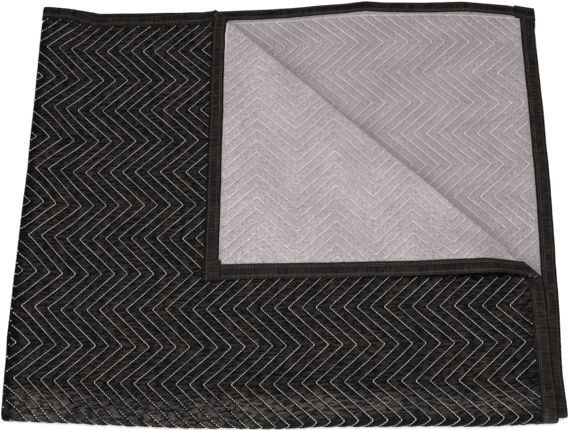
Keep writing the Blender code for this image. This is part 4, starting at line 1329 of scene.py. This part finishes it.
def add_camera():
    """The camera that the photograph was taken with."""
    el, az, roll = (math.radians(a) for a in (CAMERA_ELEVATION, CAMERA_AZIMUTH, CAMERA_ROLL))
    back = Vector((math.sin(az) * math.cos(el), -math.cos(az) * math.cos(el), math.sin(el)))
    right = Vector((math.cos(az), math.sin(az), 0.0))
    up = back.cross(right)
    turned_right = math.cos(roll) * right + math.sin(roll) * up
    turned_up = -math.sin(roll) * right + math.cos(roll) * up
    data = bpy.data.cameras.new("camera")
    data.sensor_width = SENSOR_WIDTH
    data.lens = FOCAL_PIXELS / IMAGE_WIDTH * SENSOR_WIDTH
    camera = bpy.data.objects.new("camera", data)
    turn = Matrix((turned_right, turned_up, back)).transposed()
    camera.matrix_world = turn.to_4x4()
    camera.location = (Vector(CAMERA_TARGET) + back * CAMERA_DISTANCE) * MM
    bpy.context.collection.objects.link(camera)
    bpy.context.scene.camera = camera
    bpy.context.scene.view_settings.view_transform = "Standard"


LIGHTS = [
    {"name": "overhead", "at": (0.0, -0.15, 2.6), "size": 1.8, "power": 80.0, "tint": "#fffdfb"},
    {"name": "front", "at": (0.0, -2.8, 1.4), "size": 1.6, "power": 110.0, "tint": "#ffffff"},
]


def add_lights():
    """Soft boxes, aimed at the pad, and a pale surround."""
    for row in LIGHTS:
        data = bpy.data.lights.new(row["name"], "AREA")
        data.size = row["size"]
        data.energy = row["power"]
        data.color = colour(row["tint"])[:3]
        light = bpy.data.objects.new(row["name"], data)
        light.location = row["at"]
        light.rotation_mode = "QUATERNION"
        light.rotation_quaternion = (-Vector(row["at"])).to_track_quat("-Z", "Y")
        bpy.context.collection.objects.link(light)
    world = bpy.data.worlds.new("surround")
    world.use_nodes = True
    background = world.node_tree.nodes["Background"]
    background.inputs["Color"].default_value = colour("#ffffff")
    background.inputs["Strength"].default_value = 0.25
    bpy.context.scene.world = world


def add_floor():
    """The ground that the pad lies on."""
    half = 6.0
    mesh = bpy.data.meshes.new("floor")
    corners = [(-half, -half, 0.0), (half, -half, 0.0), (half, half, 0.0), (-half, half, 0.0)]
    mesh.from_pydata(corners, [], [(0, 1, 2, 3)])
    mesh.uv_layers.new(name="cloth")
    mesh.materials.append(pale_floor())
    floor = bpy.data.objects.new("floor", mesh)
    floor.location.z = -0.0005
    bpy.context.collection.objects.link(floor)


def main():
    """Makes the pieces."""
    add_camera()
    add_lights()
    add_floor()
    tape = tape_cloth()
    face = make_cloth("black_cloth", "black", black_cloth())
    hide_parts("face_panel")
    back = make_cloth("grey_cloth", "grey", grey_cloth())
    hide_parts("back_panel")
    pale = thread("pale_grey_polyester_thread", colour("#b2aeaa"), colour("#8a8581"))
    white = thread("off_white_polyester_thread", colour("#e2dddf"), colour("#c4bdc0"))
    black = thread("black_polyester_thread", colour("#403c39"), colour("#262321"))
    black_lines = make_quilting("quilting_on_black", "black", pale, 1.6)
    grey_lines = make_quilting("quilting_on_grey", "grey", white, 1.8)
    tapes = [
        make_tape("tape_far_upper", "far", "binding_far_upper", tape),
        make_tape("tape_far_lower", "far_under", "binding_far_lower", tape),
        make_tape("tape_right_inner", "right_inner", "binding_right_inner", tape),
        make_tape("tape_right_outer", "right_outer", "binding_right_outer", tape),
    ]
    tape_stitches = make_tape_stitches("tape_stitches", black)


main()
